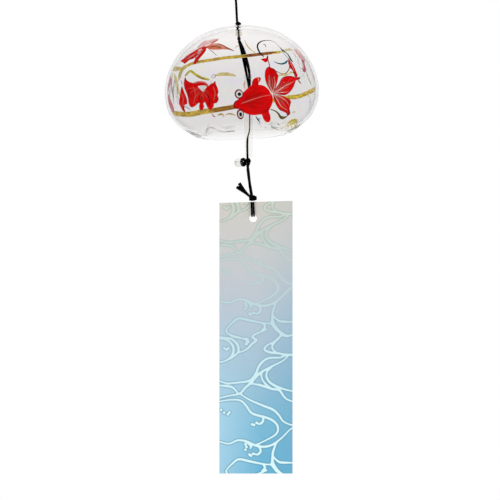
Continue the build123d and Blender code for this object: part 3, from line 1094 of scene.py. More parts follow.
def bell_outline():
    """The closed section of the shell: outside down, round the rim, and inside up again."""
    outer = outer_line()
    inner = inner_line()
    last_out, last_in = outer[-1], inner[-1]
    centre = (last_out + last_in) / 2
    half_wall = np.linalg.norm(last_out - last_in) / 2
    along = outer[-1] - outer[-2]
    along = along / np.linalg.norm(along)
    outward = (last_out - centre) / half_wall
    rim = []
    for k in range(1, 10):
        angle = pi * k / 10
        rim.append(centre + outward * half_wall * cos(angle) + along * half_wall * sin(angle))
    top_out, top_in = outer[0], inner[0]
    lip = [top_in + (top_out - top_in) * k / 4 for k in range(1, 4)]
    return [*outer, *rim, *inner[::-1], *lip]


def closed_section(points):
    """A closed line of edges in X and Z, from points in millimetres."""
    verts = [(p[0] * MM, 0.0, p[1] * MM) for p in points]
    edges = [(k, (k + 1) % len(verts)) for k in range(len(verts))]
    return mesh_from("section", verts, [], edges)


def ring_section(inner_radius, outer_radius, length, corner):
    """The section of a tube that stands on z 0, with rounded edges."""
    points = []
    centres = [
        (outer_radius - corner, length - corner, 0),
        (inner_radius + corner, length - corner, 1),
        (inner_radius + corner, corner, 2),
        (outer_radius - corner, corner, 3),
    ]
    for x, z, quarter in centres:
        for k in range(5):
            a = pi / 2 * (quarter + k / 4)
            points.append((x + corner * cos(a), z + corner * sin(a)))
    longest_step = 0.8
    divided = []
    for first, second in zip(points, points[1:] + points[:1]):
        divided.append(first)
        dx, dz = second[0] - first[0], second[1] - first[1]
        steps = int(hypot(dx, dz) / longest_step)
        divided += [(first[0] + dx * k / steps, first[1] + dz * k / steps) for k in range(1, steps)]
    return divided


def bead_section(radius, bore_radius):
    """The section of a round bead with a bore, centred on the origin."""
    reach = asin(min(0.99, bore_radius / radius))
    angles = [reach + (pi - 2 * reach) * k / 36 for k in range(37)]
    outside = [(radius * sin(angle), radius * cos(angle)) for angle in angles]
    top = outside[0][1]
    bore = [(bore_radius, -top + 2 * top * k / 10) for k in range(1, 10)]
    return outside + bore


def turn_glass(name, section, values):
    """Glass turned from a section with the node tree."""
    tree = bpy.data.node_groups.get("turned_glass") or turned_glass_tree()
    return grow(name, closed_section(section), tree, values)


class FURIN_OT_blow_bell(bpy.types.Operator):
    """The blown bell: a turned shell with uneven walls and a wavy cut rim."""

    bl_idname = "furin.blow_bell"
    bl_label = "Blow bell"

    def execute(self, context):
        glass = context.scene.furin_glass
        lip_grey = (0.45, 0.46, 0.48)
        material = glass_finish("clear_glass", glass.tint, 1.035, 0.00004, rim=lip_grey)
        values = {
            "Segments": 224,
            "Wobble": glass.wobble,
            "Wobble Size": glass.wobble_size,
            "Rim Wave": glass.rim_wave,
            "Rim Waves": 2.1,
            "Rim Height": RIM * MM,
            "Rim Fade": 0.007,
            "Seed": float(glass.seed),
            "Material": material,
        }
        bell = new_object("blown_bell", turn_glass("blown_bell", bell_outline(), values))
        settle(bell, "glass_bell", ["glass_bell"])
        return {"FINISHED"}


class FURIN_OT_fit_clapper(bpy.types.Operator):
    """The clapper tube, the stop bead under the bell's hole and the bead at the stopper knot."""

    bl_idname = "furin.fit_clapper"
    bl_label = "Fit clapper"

    def execute(self, context):
        tint = context.scene.furin_glass.tint
        smooth = 0.00001
        ground_from = 0.0403
        tube_glass = glass_finish(
            "tube_glass", shades(tint, 1.14)[0], 1.05, smooth, frost_from=ground_from
        )
        bead_glass = glass_finish("bead_glass", shades(tint, 1.06)[0], 1.5, smooth)
        stop_glass = glass_finish("stop_bead_glass", (0.95, 0.90, 0.80), 1.45, smooth, frost=0.35)

        run = Vector((TUBE_TOP[0] - TUBE_BOTTOM[0], 0, TUBE_TOP[1] - TUBE_BOTTOM[1]))
        values = {"Segments": 40, "Wobble": 0.00003, "Wobble Size": 0.006, "Seed": 2.0}
        values["Material"] = tube_glass
        section = ring_section(TUBE_BORE_RADIUS, TUBE_RADIUS, run.length, TUBE_EDGE)
        mesh = turn_glass("clapper_tube_glass", section, values)
        cut_reach = 0.006
        cut_slope = 0.22
        for vertex in mesh.vertices:
            near_end = max(0.0, 1.0 - vertex.co.z / cut_reach)
            vertex.co.z += near_end * cut_slope * vertex.co.x
        turn = Vector((0, 0, 1)).rotation_difference(run).to_matrix().to_4x4()
        foot = Vector((TUBE_BOTTOM[0], 0, TUBE_BOTTOM[1])) * MM
        mesh.transform(Matrix.Translation(foot) @ turn)
        tube = new_object("clapper_tube_glass", mesh)
        settle(tube, "clapper_tube", ["clapper_tube"])

        values = {"Segments": 40, "Wobble": 0.00002, "Wobble Size": 0.004, "Seed": 5.0}
        values["Material"] = stop_glass
        section = bead_section(STOP_BEAD_RADIUS, STOP_BORE_RADIUS)
        mesh = turn_glass("stop_bead_glass", section, values)
        mesh.transform(Matrix.Translation(Vector(STOP_BEAD_PLACE) * MM))
        bead = new_object("stop_bead_glass", mesh)
        settle(bead, "stop_bead", ["stop_bead"])

        values["Material"] = bead_glass
        section = bead_section(SIDE_BEAD_RADIUS, SIDE_BORE_RADIUS)
        mesh = turn_glass("side_bead_glass", section, values)
        lying = Matrix.Rotation(pi / 2, 4, "Y")
        mesh.transform(Matrix.Translation(Vector(SIDE_BEAD_PLACE) * MM) @ lying)
        bead = new_object("side_bead_glass", mesh)
        settle(bead, "clapper_cord", ["glass_bead"])
        return {"FINISHED"}


# Paint on the inside of the glass, with painted reflections and highlights

# From the glass to the first layer and from one layer to the next, in millimetres.
FIRST_LAYER_GAP = 0.03
LAYER_GAP = 0.012


class Coat:
    """Thin closed patches of paint on the inside of the bell, each with a finish and a depth."""

    def __init__(self, thickness):
        self.thickness = thickness / MM
        self.inside = inner_line(121)
        step = np.gradient(self.inside, axis=0)
        self.slopes = np.arctan2(step[:, 0], -step[:, 1])
        self.verts = []
        self.faces = []
        self.finishes = []
        self.finish_of_face = []

    def place(self, along, z, depth):
        """A point of the inner wall, along it from the front's middle and in from the glass."""
        radius = float(np.interp(-z, -self.inside[:, 1], self.inside[:, 0]))
        slope = float(np.interp(-z, -self.inside[:, 1], self.slopes))
        angle = along / INSIDE_MEASURE
        radius -= depth * cos(slope)
        z -= depth * sin(slope)
        return (radius * sin(angle) * MM, -radius * cos(angle) * MM, z * MM)

    def patch(self, outline, finish, layer, spacing=1.0):
        """Fills a closed outline given along the wall and in height, in millimetres."""
        if finish not in self.finishes:
            self.finishes.append(finish)
        border = [Vector((float(p[0]), float(p[1]))) for p in outline]
        count = len(border)
        xs = [p.x for p in border]
        zs = [p.y for p in border]
        grid = []
        if spacing:
            x = min(xs) + spacing / 2
            while x < max(xs):
                z = min(zs) + spacing / 2
                while z < max(zs):
                    point = Vector((x, z))
                    if min((point - b).length for b in border) > spacing * 0.45:
                        grid.append(point)
                    z += spacing
                x += spacing
        edges = [(k, (k + 1) % count) for k in range(count)]
        points, _, triangles, *_ = delaunay_2d_cdt(border + grid, edges, [], 1, 1e-4)
        depth = FIRST_LAYER_GAP + layer * (self.thickness + LAYER_GAP)
        first = len(self.verts)
        total = len(points)
        for level in (depth, depth + self.thickness):
            self.verts += [self.place(p.x, p.y, level) for p in points]
        used = {}
        for a, b, c in triangles:
            for edge in ((a, b), (b, c), (c, a)):
                used[edge] = True
        skin = []
        for a, b, c in triangles:
            skin.append((first + a, first + b, first + c))
            skin.append((first + total + c, first + total + b, first + total + a))
        for a, b in used:
            if (b, a) not in used:
                skin.append((first + b, first + a, first + total + a, first + total + b))
        self.faces += skin
        self.finish_of_face += [self.finishes.index(finish)] * len(skin)

    def stroke(self, points, widths, finish, layer):
        """A brush stroke along points, as wide as given from start to end."""
        line = smooth_line(points, per_run=6)
        count = len(line)
        spots = np.linspace(0, 1, len(widths))
        left = []
        right = []
        for k, here in enumerate(line):
            ahead = line[min(k + 1, count - 1)] - line[max(k - 1, 0)]
            side = np.array([-ahead[1], ahead[0]])
            side /= max(np.linalg.norm(side), 1e-9)
            half = float(np.interp(k / (count - 1), spots, widths)) / 2
            left.append(here + side * half)
            right.append(here - side * half)
        ahead = line[-1] - line[-2]
        ahead /= max(np.linalg.norm(ahead), 1e-9)
        back = line[0] - line[1]
        back /= max(np.linalg.norm(back), 1e-9)
        tip = line[-1] + ahead * widths[-1] / 2
        tail = line[0] + back * widths[0] / 2
        self.patch(left + [tip] + right[::-1] + [tail], finish, layer, spacing=0)

    def dot(self, centre, width, height, finish, layer):
        """A round or oval dab."""
        angles = [2 * pi * k / 28 for k in range(28)]
        outline = [
            (centre[0] + width / 2 * cos(a), centre[1] + height / 2 * sin(a)) for a in angles
        ]
        self.patch(outline, finish, layer, spacing=1.2)

    def shape(self, outline, finish, layer):
        """A filled shape inside a smooth closed outline."""
        self.patch(smooth_line(outline, closed=True, per_run=5), finish, layer)

    def edge(self, outline, width, finish, layer):
        """A fine line that follows a closed outline, in open runs."""
        line = smooth_line(outline, closed=True, per_run=5)
        run = 12
        for start in range(0, len(line), run):
            part = [line[(start + k) % len(line)] for k in range(run + 1)]
            self.stroke(part, [width, width * 1.25, width], finish, layer)

    def fan(self, root, tips, count, width, finish, layer, seed):
        """Fine brush hairs that run from a root towards a line of tips, each of another length."""
        random = np.random.default_rng(seed)
        line = np.array(smooth_line(tips, per_run=8))
        start = np.array(root, float)
        for k in range(count):
            share = (k + random.uniform(0.2, 0.8)) / count * (len(line) - 1)
            tip = line[int(share)]
            run = (tip - start) * random.uniform(0.6, 0.94)
            begin = start + run * random.uniform(0.05, 0.3)
            bend = np.array([-run[1], run[0]]) * random.uniform(-0.06, 0.06)
            widths = [width * 0.5, width * random.uniform(0.8, 1.3), width * 0.3]
            end = start + run
            self.stroke([begin, (begin + start + run) / 2 + bend, end], widths, finish, layer)

    def piece(self, name, node, slot):
        """The finished coat as a piece that rides on the bell."""
        mesh = mesh_from(name, self.verts, self.faces)
        for finish in self.finishes:
            mesh.materials.append(finish)
        mesh.polygons.foreach_set("material_index", self.finish_of_face)
        mesh.polygons.foreach_set("use_smooth", [False] * len(mesh.polygons))
        piece = new_object(name, mesh)
        settle(piece, "glass_bell", [node])
        return piece


# Outlines on the inner wall, in tenths of a millimetre: the place along the wall from the middle
# of the front, and the height.
FISH_BODY = [
    (-47, -1093), (-42, -1083), (-32, -1074), (-21, -1066), (-13, -1056), (-2, -1044), (9, -1032),
    (29, -1015), (48, -1003), (75, -999), (99, -1000), (118, -1007), (137, -1022), (148, -1038),
    (160, -1053), (165, -1074), (164, -1095), (158, -1112), (150, -1126), (130, -1133),
    (107, -1137), (74, -1139), (45, -1137), (17, -1130), (-5, -1118), (-17, -1112), (-29, -1105),
    (-40, -1104),
]
FISH_UPPER_FIN = [
    (51, -1012), (53, -989), (58, -975), (66, -967), (79, -962), (95, -963), (98, -970), (95, -979),
    (86, -990), (81, -1012),
]
FISH_LOWER_FIN = [
    (110, -1124), (125, -1146), (143, -1160), (166, -1169), (187, -1170), (193, -1163),
    (182, -1148), (161, -1129), (146, -1116),
]
UPPER_LOBE = [
    (160, -1036), (148, -1027), (135, -1009), (125, -987), (121, -964), (123, -938), (133, -918),
    (147, -910), (162, -916), (181, -933), (191, -954), (186, -975), (179, -998), (169, -1020),
]
RIGHT_LOBE = [
    (163, -1036), (175, -1016), (194, -994), (203, -979), (218, -963), (242, -955), (272, -953),
    (304, -958), (337, -960), (304, -971), (294, -986), (278, -1013), (258, -1034), (232, -1046),
    (201, -1045), (179, -1042),
]
LOWER_LOBE = [
    (164, -1045), (184, -1048), (212, -1051), (241, -1059), (270, -1070), (282, -1078),
    (283, -1092), (290, -1110), (314, -1130), (302, -1136), (283, -1128), (250, -1121),
    (222, -1115), (196, -1098), (178, -1077),
]
SIDE_FIGURE = [
    (287, -859), (290, -871), (300, -886), (306, -906), (311, -925), (318, -944), (310, -954),
    (298, -950), (294, -934), (287, -919), (276, -912), (273, -896), (274, -880),
]
BUD = [
    (111, -869), (124, -865), (141, -863), (152, -848), (157, -852), (147, -877), (134, -886),
    (122, -879),
]
FAR_FISH = [
    (-317, -928), (-304, -942), (-287, -952), (-267, -960), (-246, -966), (-220, -964),
    (-195, -969), (-177, -980), (-166, -989), (-154, -980), (-140, -976), (-130, -969),
    (-128, -983), (-124, -993), (-119, -1008), (-119, -1024), (-125, -1037), (-122, -1051),
    (-126, -1063), (-138, -1073), (-152, -1074), (-159, -1087), (-174, -1098), (-188, -1100),
    (-195, -1088), (-198, -1070), (-205, -1061), (-214, -1074), (-218, -1090), (-230, -1096),
    (-249, -1095), (-244, -1079), (-233, -1064), (-240, -1062), (-261, -1069), (-288, -1079),
    (-306, -1072), (-308, -1056), (-302, -1032), (-306, -1007), (-317, -981), (-322, -955),
]
FAR_FISH_SIDE = [
    (-342, -969), (-329, -992), (-320, -1014), (-315, -1035), (-323, -1056), (-344, -1060),
    (-359, -1075), (-368, -1092), (-382, -1084), (-386, -1065), (-389, -1046), (-373, -1025),
    (-357, -1000),
]
FAR_FISH_NOTCH = [
    (-228, -983), (-215, -981), (-196, -982), (-181, -985), (-178, -993), (-189, -1004),
    (-199, -1013), (-209, -1006), (-219, -996),
]
RED_LEAF_LOBE = [
    (-232, -776), (-214, -791), (-214, -807), (-228, -828), (-241, -844), (-251, -855),
    (-256, -865), (-266, -863), (-270, -848), (-267, -833), (-249, -820), (-237, -799),
]
RED_LEAF_TIP = [(-414, -829), (-405, -821), (-373, -821), (-369, -834), (-386, -836)]
RED_LEAF_LIGHT = [
    (-270, -806), (-271, -791), (-254, -786), (-242, -791), (-245, -805), (-255, -814),
]
RED_LEAF = [
    (-401, -829), (-375, -819), (-347, -804), (-319, -793), (-292, -784), (-262, -778),
    (-232, -776), (-217, -791), (-230, -801), (-248, -812), (-266, -823), (-287, -833),
    (-318, -837), (-346, -850), (-363, -844),
]
ORANGE_LEAF = [
    (-232, -781), (-208, -769), (-172, -765), (-140, -768), (-101, -781), (-66, -801), (-33, -819),
    (-65, -809), (-96, -805), (-133, -801), (-175, -793),
]
LEAF_HAZE = [
    (-301, -775), (-296, -756), (-277, -741), (-235, -736), (-191, -734), (-151, -739),
    (-177, -750), (-203, -759), (-228, -769), (-247, -779),
]
RIGHT_DARK_LEAF = [
    (408, -857), (392, -885), (374, -913), (391, -925), (410, -910), (417, -885), (433, -859),
]
RIGHT_HAZE = [
    (399, -799), (394, -831), (402, -853), (433, -863), (474, -844), (487, -815), (484, -788),
]
RIGHT_PINK = [
    (504, -910), (526, -886), (558, -878), (592, -892), (610, -922), (602, -944), (586, -942),
    (578, -972), (550, -970), (526, -952), (516, -936),
]
LEFT_EDGE_UPPER = [
    (-469, -923), (-493, -898), (-526, -882), (-565, -878), (-608, -889), (-646, -918),
    (-612, -932), (-624, -954), (-580, -956), (-552, -964), (-514, -954), (-486, -946),
]
LEFT_EDGE_LOWER = [
    (-472, -1056), (-483, -1019), (-510, -986), (-546, -970), (-586, -972), (-622, -992),
    (-606, -1010), (-634, -1034), (-600, -1046), (-590, -1072), (-544, -1070), (-506, -1074),
]
LEFT_HAZE = [(-556, -854), (-441, -875), (-376, -880), (-365, -869), (-441, -853), (-546, -842)]
YELLOW_LEAF = [(876, -1117), (813, -1120), (749, -1147), (707, -1166), (832, -1164), (881, -1142)]

TAIL_ROOT = (161, -1042)
UPPER_TIPS = [(127, -970), (132, -930), (150, -920), (170, -934), (182, -965)]
RIGHT_TIPS = [(208, -980), (245, -964), (295, -966), (284, -992), (253, -1028)]
LOWER_TIPS = [(245, -1066), (274, -1084), (282, -1116), (240, -1112), (198, -1092)]

# What is painted where: filled shapes (paint, layer, outline), fine edges (paint, layer, width,
# outline), brush strokes (paint, layer, widths from start to end, points), dots (paint, layer,
# width, height, place) and fans of hairs (paint, layer, number, width, root, tips). Points are
# in tenths of a millimetre and widths in millimetres. Layer 0 lies on the glass, in front of the
# higher numbers.
FRONT_GOLDFISH = {
    "piece": "front_goldfish_paint",
    "node": "front_goldfish",
    "slot": "red_enamel",
    "shapes": [
        ("red", 5, FISH_BODY), ("red", 4, FISH_UPPER_FIN), ("red", 4, FISH_LOWER_FIN),
        ("red", 5, UPPER_LOBE), ("red", 5, RIGHT_LOBE), ("red", 5, LOWER_LOBE),
        ("red", 5, SIDE_FIGURE), ("red", 5, BUD), ("crimson wash", 5, RIGHT_DARK_LEAF),
        ("pink wash", 6, RIGHT_HAZE), ("pink wash", 6, RIGHT_PINK),
    ],
    "edges": [
        ("dark red", 4, 0.22, UPPER_LOBE), ("dark red", 4, 0.22, RIGHT_LOBE),
        ("dark red", 4, 0.22, LOWER_LOBE), ("dark red", 4, 0.18, SIDE_FIGURE),
    ],
    "strokes": [
        ("dark red", 3, [0.2, 0.55, 0.6, 0.5, 0.2], [
            (-21, -1066), (-38, -1077), (-46, -1092), (-40, -1103), (-21, -1108)]),
        ("dark red", 3, [0.15, 0.4, 0.15], [(-6, -1053), (6, -1042), (7, -1030)]),
        ("dark red", 3, [0.15, 0.35, 0.2], [(116, -1129), (136, -1124), (152, -1112)]),
        ("dark red", 3, [0.15, 0.3, 0.12], [(53, -1004), (55, -988), (62, -974)]),
        ("pink", 3, [0.2, 0.45, 0.1], [(82, -967), (87, -972), (83, -983)]),
        ("rose", 2, [0.35, 0.6, 0.5, 0.35, 0.25], [
            (-4, -1083), (27, -1075), (67, -1064), (108, -1054), (155, -1046)]),
        ("pink", 1, [0.5, 0.4, 0.3, 0.12], [(159, -1035), (145, -1009), (139, -987), (142, -954)]),
        ("pink", 1, [0.4, 0.35, 0.25, 0.1], [(161, -1033), (169, -1005), (171, -987), (167, -956)]),
        ("rose", 1, [0.3, 0.35, 0.15], [(156, -1033), (139, -1016), (131, -987)]),
        ("pink", 1, [0.45, 0.5, 0.4, 0.12], [
            (164, -1038), (195, -1023), (235, -1000), (286, -978)]),
        ("pink", 1, [0.35, 0.35, 0.3, 0.1], [
            (165, -1042), (196, -1036), (228, -1035), (254, -1027)]),
        ("rose", 1, [0.3, 0.3, 0.12], [(166, -1033), (181, -1009), (209, -976)]),
        ("pink", 1, [0.4, 0.35, 0.3, 0.1], [
            (166, -1046), (193, -1074), (221, -1098), (274, -1116)]),
        ("pink", 1, [0.4, 0.4, 0.3, 0.1], [(167, -1045), (204, -1056), (236, -1069), (270, -1090)]),
        ("dark red", 2, [0.2, 0.9, 0.3], [(284, -1114), (312, -1130), (307, -1139)]),
        ("dark red", 4, [0.3, 0.45, 0.5, 0.4], [
            (154, -848), (149, -869), (151, -893), (150, -916)]),
        ("dark red", 6, [0.35, 0.4, 0.3, 0.25, 0.35, 0.45, 0.5], [
            (168, -916), (184, -930), (204, -939), (227, -943), (247, -935), (266, -916),
            (277, -900)]),
        ("dark red", 4, [0.25, 0.4, 0.3], [(295, -911), (298, -934), (299, -957)]),
        ("dark red", 4, [0.25, 0.45, 0.2], [(301, -957), (319, -957), (346, -951)]),
        ("pink", 3, [0.15, 0.35, 0.15], [(286, -875), (293, -896), (299, -924)]),
        ("crimson wash", 6, [0.4, 1.1, 0.6], [(314, -966), (328, -974), (343, -985)]),
        # The white and grey washes here are painted highlights and painted reflections: streaks of
        # light and shade near the bell's right side.
        ("painted highlight and white wash", 6, [0.8, 2.4, 2.6, 1.2], [
            (347, -799), (364, -839), (366, -897), (373, -952)]),
        ("pink wash", 6, [0.5, 1.2, 0.5], [(403, -830), (411, -866), (420, -908)]),
        ("painted reflection and grey wash", 7, [0.6, 1.6, 0.8], [(412, -918), (420, -947), (453, -978)]),
        ("painted highlight and white wash", 7, [0.8, 2.6, 1.2], [(426, -1034), (481, -1066), (569, -1119)]),
        ("painted reflection and grey wash", 7, [0.6, 2.2, 0.8], [(519, -1016), (605, -1048), (613, -1090)]),
        ("pink wash", 6, [0.3, 0.8, 0.4], [(19, -980), (14, -994), (15, -1014)]),
    ],
    "dots": [
        ("dark red", 3, 4.2, 4.5, (-15, -1039)), ("white", 2, 3.1, 3.3, (-13, -1039)),
        ("black", 1, 1.8, 1.7, (-12, -1040)), ("dark red", 3, 4.3, 4.4, (-15, -1132)),
        ("white", 2, 3.1, 3.1, (-13.5, -1132)), ("black", 1, 1.7, 1.7, (-13, -1132.5)),
        ("pink", 0, 0.8, 0.7, (162, -1042)),
    ],
    "fans": [
        ("rose", 2, 7, 0.22, TAIL_ROOT, UPPER_TIPS), ("rose", 2, 9, 0.22, TAIL_ROOT, RIGHT_TIPS),
        ("rose", 2, 8, 0.2, TAIL_ROOT, LOWER_TIPS), ("dark red", 3, 6, 0.3, TAIL_ROOT, UPPER_TIPS),
        ("dark red", 3, 7, 0.3, TAIL_ROOT, RIGHT_TIPS),
        ("dark red", 3, 6, 0.26, TAIL_ROOT, LOWER_TIPS),
        ("deep red", 4, 14, 1.1, (-10, -1083), [
            (80, -1008), (140, -1036), (156, -1080), (100, -1130)]),
    ],
}
LEFT_GOLDFISH = {
    "piece": "left_goldfish_paint",
    "node": "left_goldfish",
    "slot": "red_enamel",
    "shapes": [
        ("red", 5, FAR_FISH), ("red", 5, FAR_FISH_SIDE), ("white", 3, FAR_FISH_NOTCH),
        ("dusty rose", 5, LEFT_EDGE_UPPER), ("dusty rose", 5, LEFT_EDGE_LOWER),
    ],
    "edges": [("dark red", 4, 0.16, FAR_FISH), ("dark red", 4, 0.14, FAR_FISH_SIDE)],
    "strokes": [
        ("rose", 3, [0.3, 0.7, 0.8, 0.4], [
            (-259, -965), (-240, -961), (-214, -962), (-190, -968), (-176, -977), (-167, -987)]),
        ("dark red", 3, [0.2, 0.45, 0.2], [(-308, -962), (-292, -1001), (-300, -1037)]),
        ("dark red", 3, [0.2, 0.6, 0.2], [(-181, -1014), (-173, -1047), (-181, -1085)]),
        ("dark red", 3, [0.2, 0.4, 0.2], [(-227, -1017), (-224, -1041), (-237, -1064)]),
        ("rose", 3, [0.2, 0.5, 0.2], [(-257, -981), (-249, -1023), (-276, -1064)]),
        ("rose", 3, [0.2, 0.45, 0.2], [(-142, -994), (-135, -1026), (-149, -1061)]),
        ("white", 2, [0.25, 0.5, 0.55, 0.5, 0.3], [
            (-321, -947), (-329, -965), (-320, -989), (-308, -1015), (-306, -1040), (-320, -1067)]),
        ("white", 2, [0.2, 0.6, 0.2], [(-170, -985), (-153, -970), (-137, -956)]),
        ("white", 2, [0.2, 0.5, 0.2], [(-290, -1078), (-264, -1075), (-239, -1065)]),
        ("white", 2, [0.3, 0.45, 0.3], [(-212, -1069), (-212, -1082), (-224, -1096)]),
        ("rose", 4, [0.2, 0.5, 0.2], [(-347, -1002), (-342, -1031), (-370, -1061)]),
        ("teal", 4, [0.2, 0.45, 0.2], [(-349, -936), (-341, -948), (-338, -959)]),
        ("painted highlight and white wash", 4, [0.3, 0.8, 0.5], [(-354, -1061), (-333, -1071), (-314, -1084)]),
        ("olive", 5, [0.2, 0.35, 0.2], [(-353, -1067), (-331, -1078), (-318, -1089)]),
        # Painted reflections and a painted highlight: grey and white streaks near the bell's left
        # side.
        ("painted reflection and grey wash", 7, [0.6, 1.8, 1.8, 0.8], [
            (-476, -882), (-469, -917), (-453, -961), (-436, -1010)]),
        ("painted highlight and white wash", 7, [0.6, 1.8, 1.8, 0.8], [
            (-410, -917), (-413, -959), (-407, -1002), (-410, -1047)]),
        ("painted reflection and grey wash", 7, [0.4, 1.0, 0.5], [(-377, -948), (-388, -984), (-391, -1029)]),
    ],
    "dots": [],
    "fans": [
        ("deep red", 4, 8, 0.5, (-210, -1000), [
            (-302, -970), (-300, -1040), (-260, -1070), (-178, -1086), (-134, -1050),
            (-132, -1000)]),
        ("scarlet", 3, 9, 0.55, (-215, -1015), [
            (-286, -980), (-282, -1030), (-250, -1054), (-186, -1070), (-154, -1040),
            (-154, -1000)]),
        ("crimson wash", 4, 6, 0.5, (-580, -966), [(-484, -916), (-560, -886), (-626, -920)]),
        ("crimson wash", 4, 6, 0.5, (-580, -968), [(-486, -1040), (-550, -1060), (-616, -1024)]),
        ("rose", 2, 6, 0.2, (-210, -995), [
            (-300, -966), (-300, -1040), (-178, -1080), (-136, -1020)]),
    ],
}
TOP_LEAVES = {
    "piece": "top_leaves_paint",
    "node": "top_leaves",
    "slot": "orange_enamel",
    "shapes": [
        ("orange", 5, ORANGE_LEAF), ("red", 5, RED_LEAF), ("red", 5, RED_LEAF_LOBE),
        ("deep red", 5, RED_LEAF_TIP), ("white", 3, RED_LEAF_LIGHT), ("pink wash", 6, LEAF_HAZE),
    ],
    "edges": [("dark red", 4, 0.14, RED_LEAF), ("dark red", 4, 0.14, RED_LEAF_LOBE)],
    "strokes": [
        ("dark red", 3, [0.15, 0.35, 0.4, 0.2], [
            (-143, -768), (-107, -780), (-77, -796), (-50, -810), (-30, -820)]),
        ("red", 3, [0.15, 0.4, 0.15], [(-224, -783), (-186, -793), (-149, -801), (-106, -805)]),
        ("red", 3, [0.2, 0.45, 0.2], [(-227, -780), (-189, -778), (-144, -785)]),
        ("brown", 3, [0.15, 0.4, 0.15], [(-190, -787), (-156, -785), (-107, -798)]),
        ("brown", 3, [0.15, 0.35, 0.15], [(-137, -774), (-122, -785), (-111, -795)]),
        ("pink", 2, [0.2, 0.45, 0.35, 0.15], [
            (-220, -778), (-185, -774), (-142, -777), (-93, -795)]),
        ("pink", 2, [0.3, 0.5, 0.4, 0.2], [(-381, -815), (-358, -797), (-331, -785), (-296, -780)]),
        ("pink", 2, [0.2, 0.45, 0.2], [(-339, -830), (-308, -821), (-289, -810)]),
        ("dark red", 3, [0.2, 0.5, 0.2], [(-396, -825), (-365, -813), (-331, -798)]),
        ("dark red", 3, [0.2, 0.5, 0.2], [(-306, -804), (-275, -819), (-266, -840)]),
        ("dark red", 3, [0.2, 0.4, 0.2], [(-354, -840), (-325, -828), (-294, -826)]),
        ("rose", 2, [0.2, 0.5, 0.2], [(-267, -833), (-249, -820), (-231, -800)]),
        ("brown", 4, [0.3, 0.3, 0.2], [(-192, -794), (-159, -813), (-128, -838)]),
        ("brown", 5, [0.1, 0.25, 0.1], [(-303, -775), (-299, -759), (-287, -744), (-271, -733)]),
        ("pink wash", 6, [0.6, 1.6, 1.8, 1.0, 0.4], [
            (-526, -789), (-514, -762), (-499, -738), (-475, -717), (-397, -703)]),
        ("rose wash", 6, [0.4, 1.2, 0.5], [(-207, -771), (-179, -755), (-153, -745)]),
    ],
    "dots": [],
    "fans": [
        ("rose", 2, 7, 0.22, (-226, -786), [
            (-390, -824), (-340, -840), (-296, -830), (-256, -854)]),
    ],
}
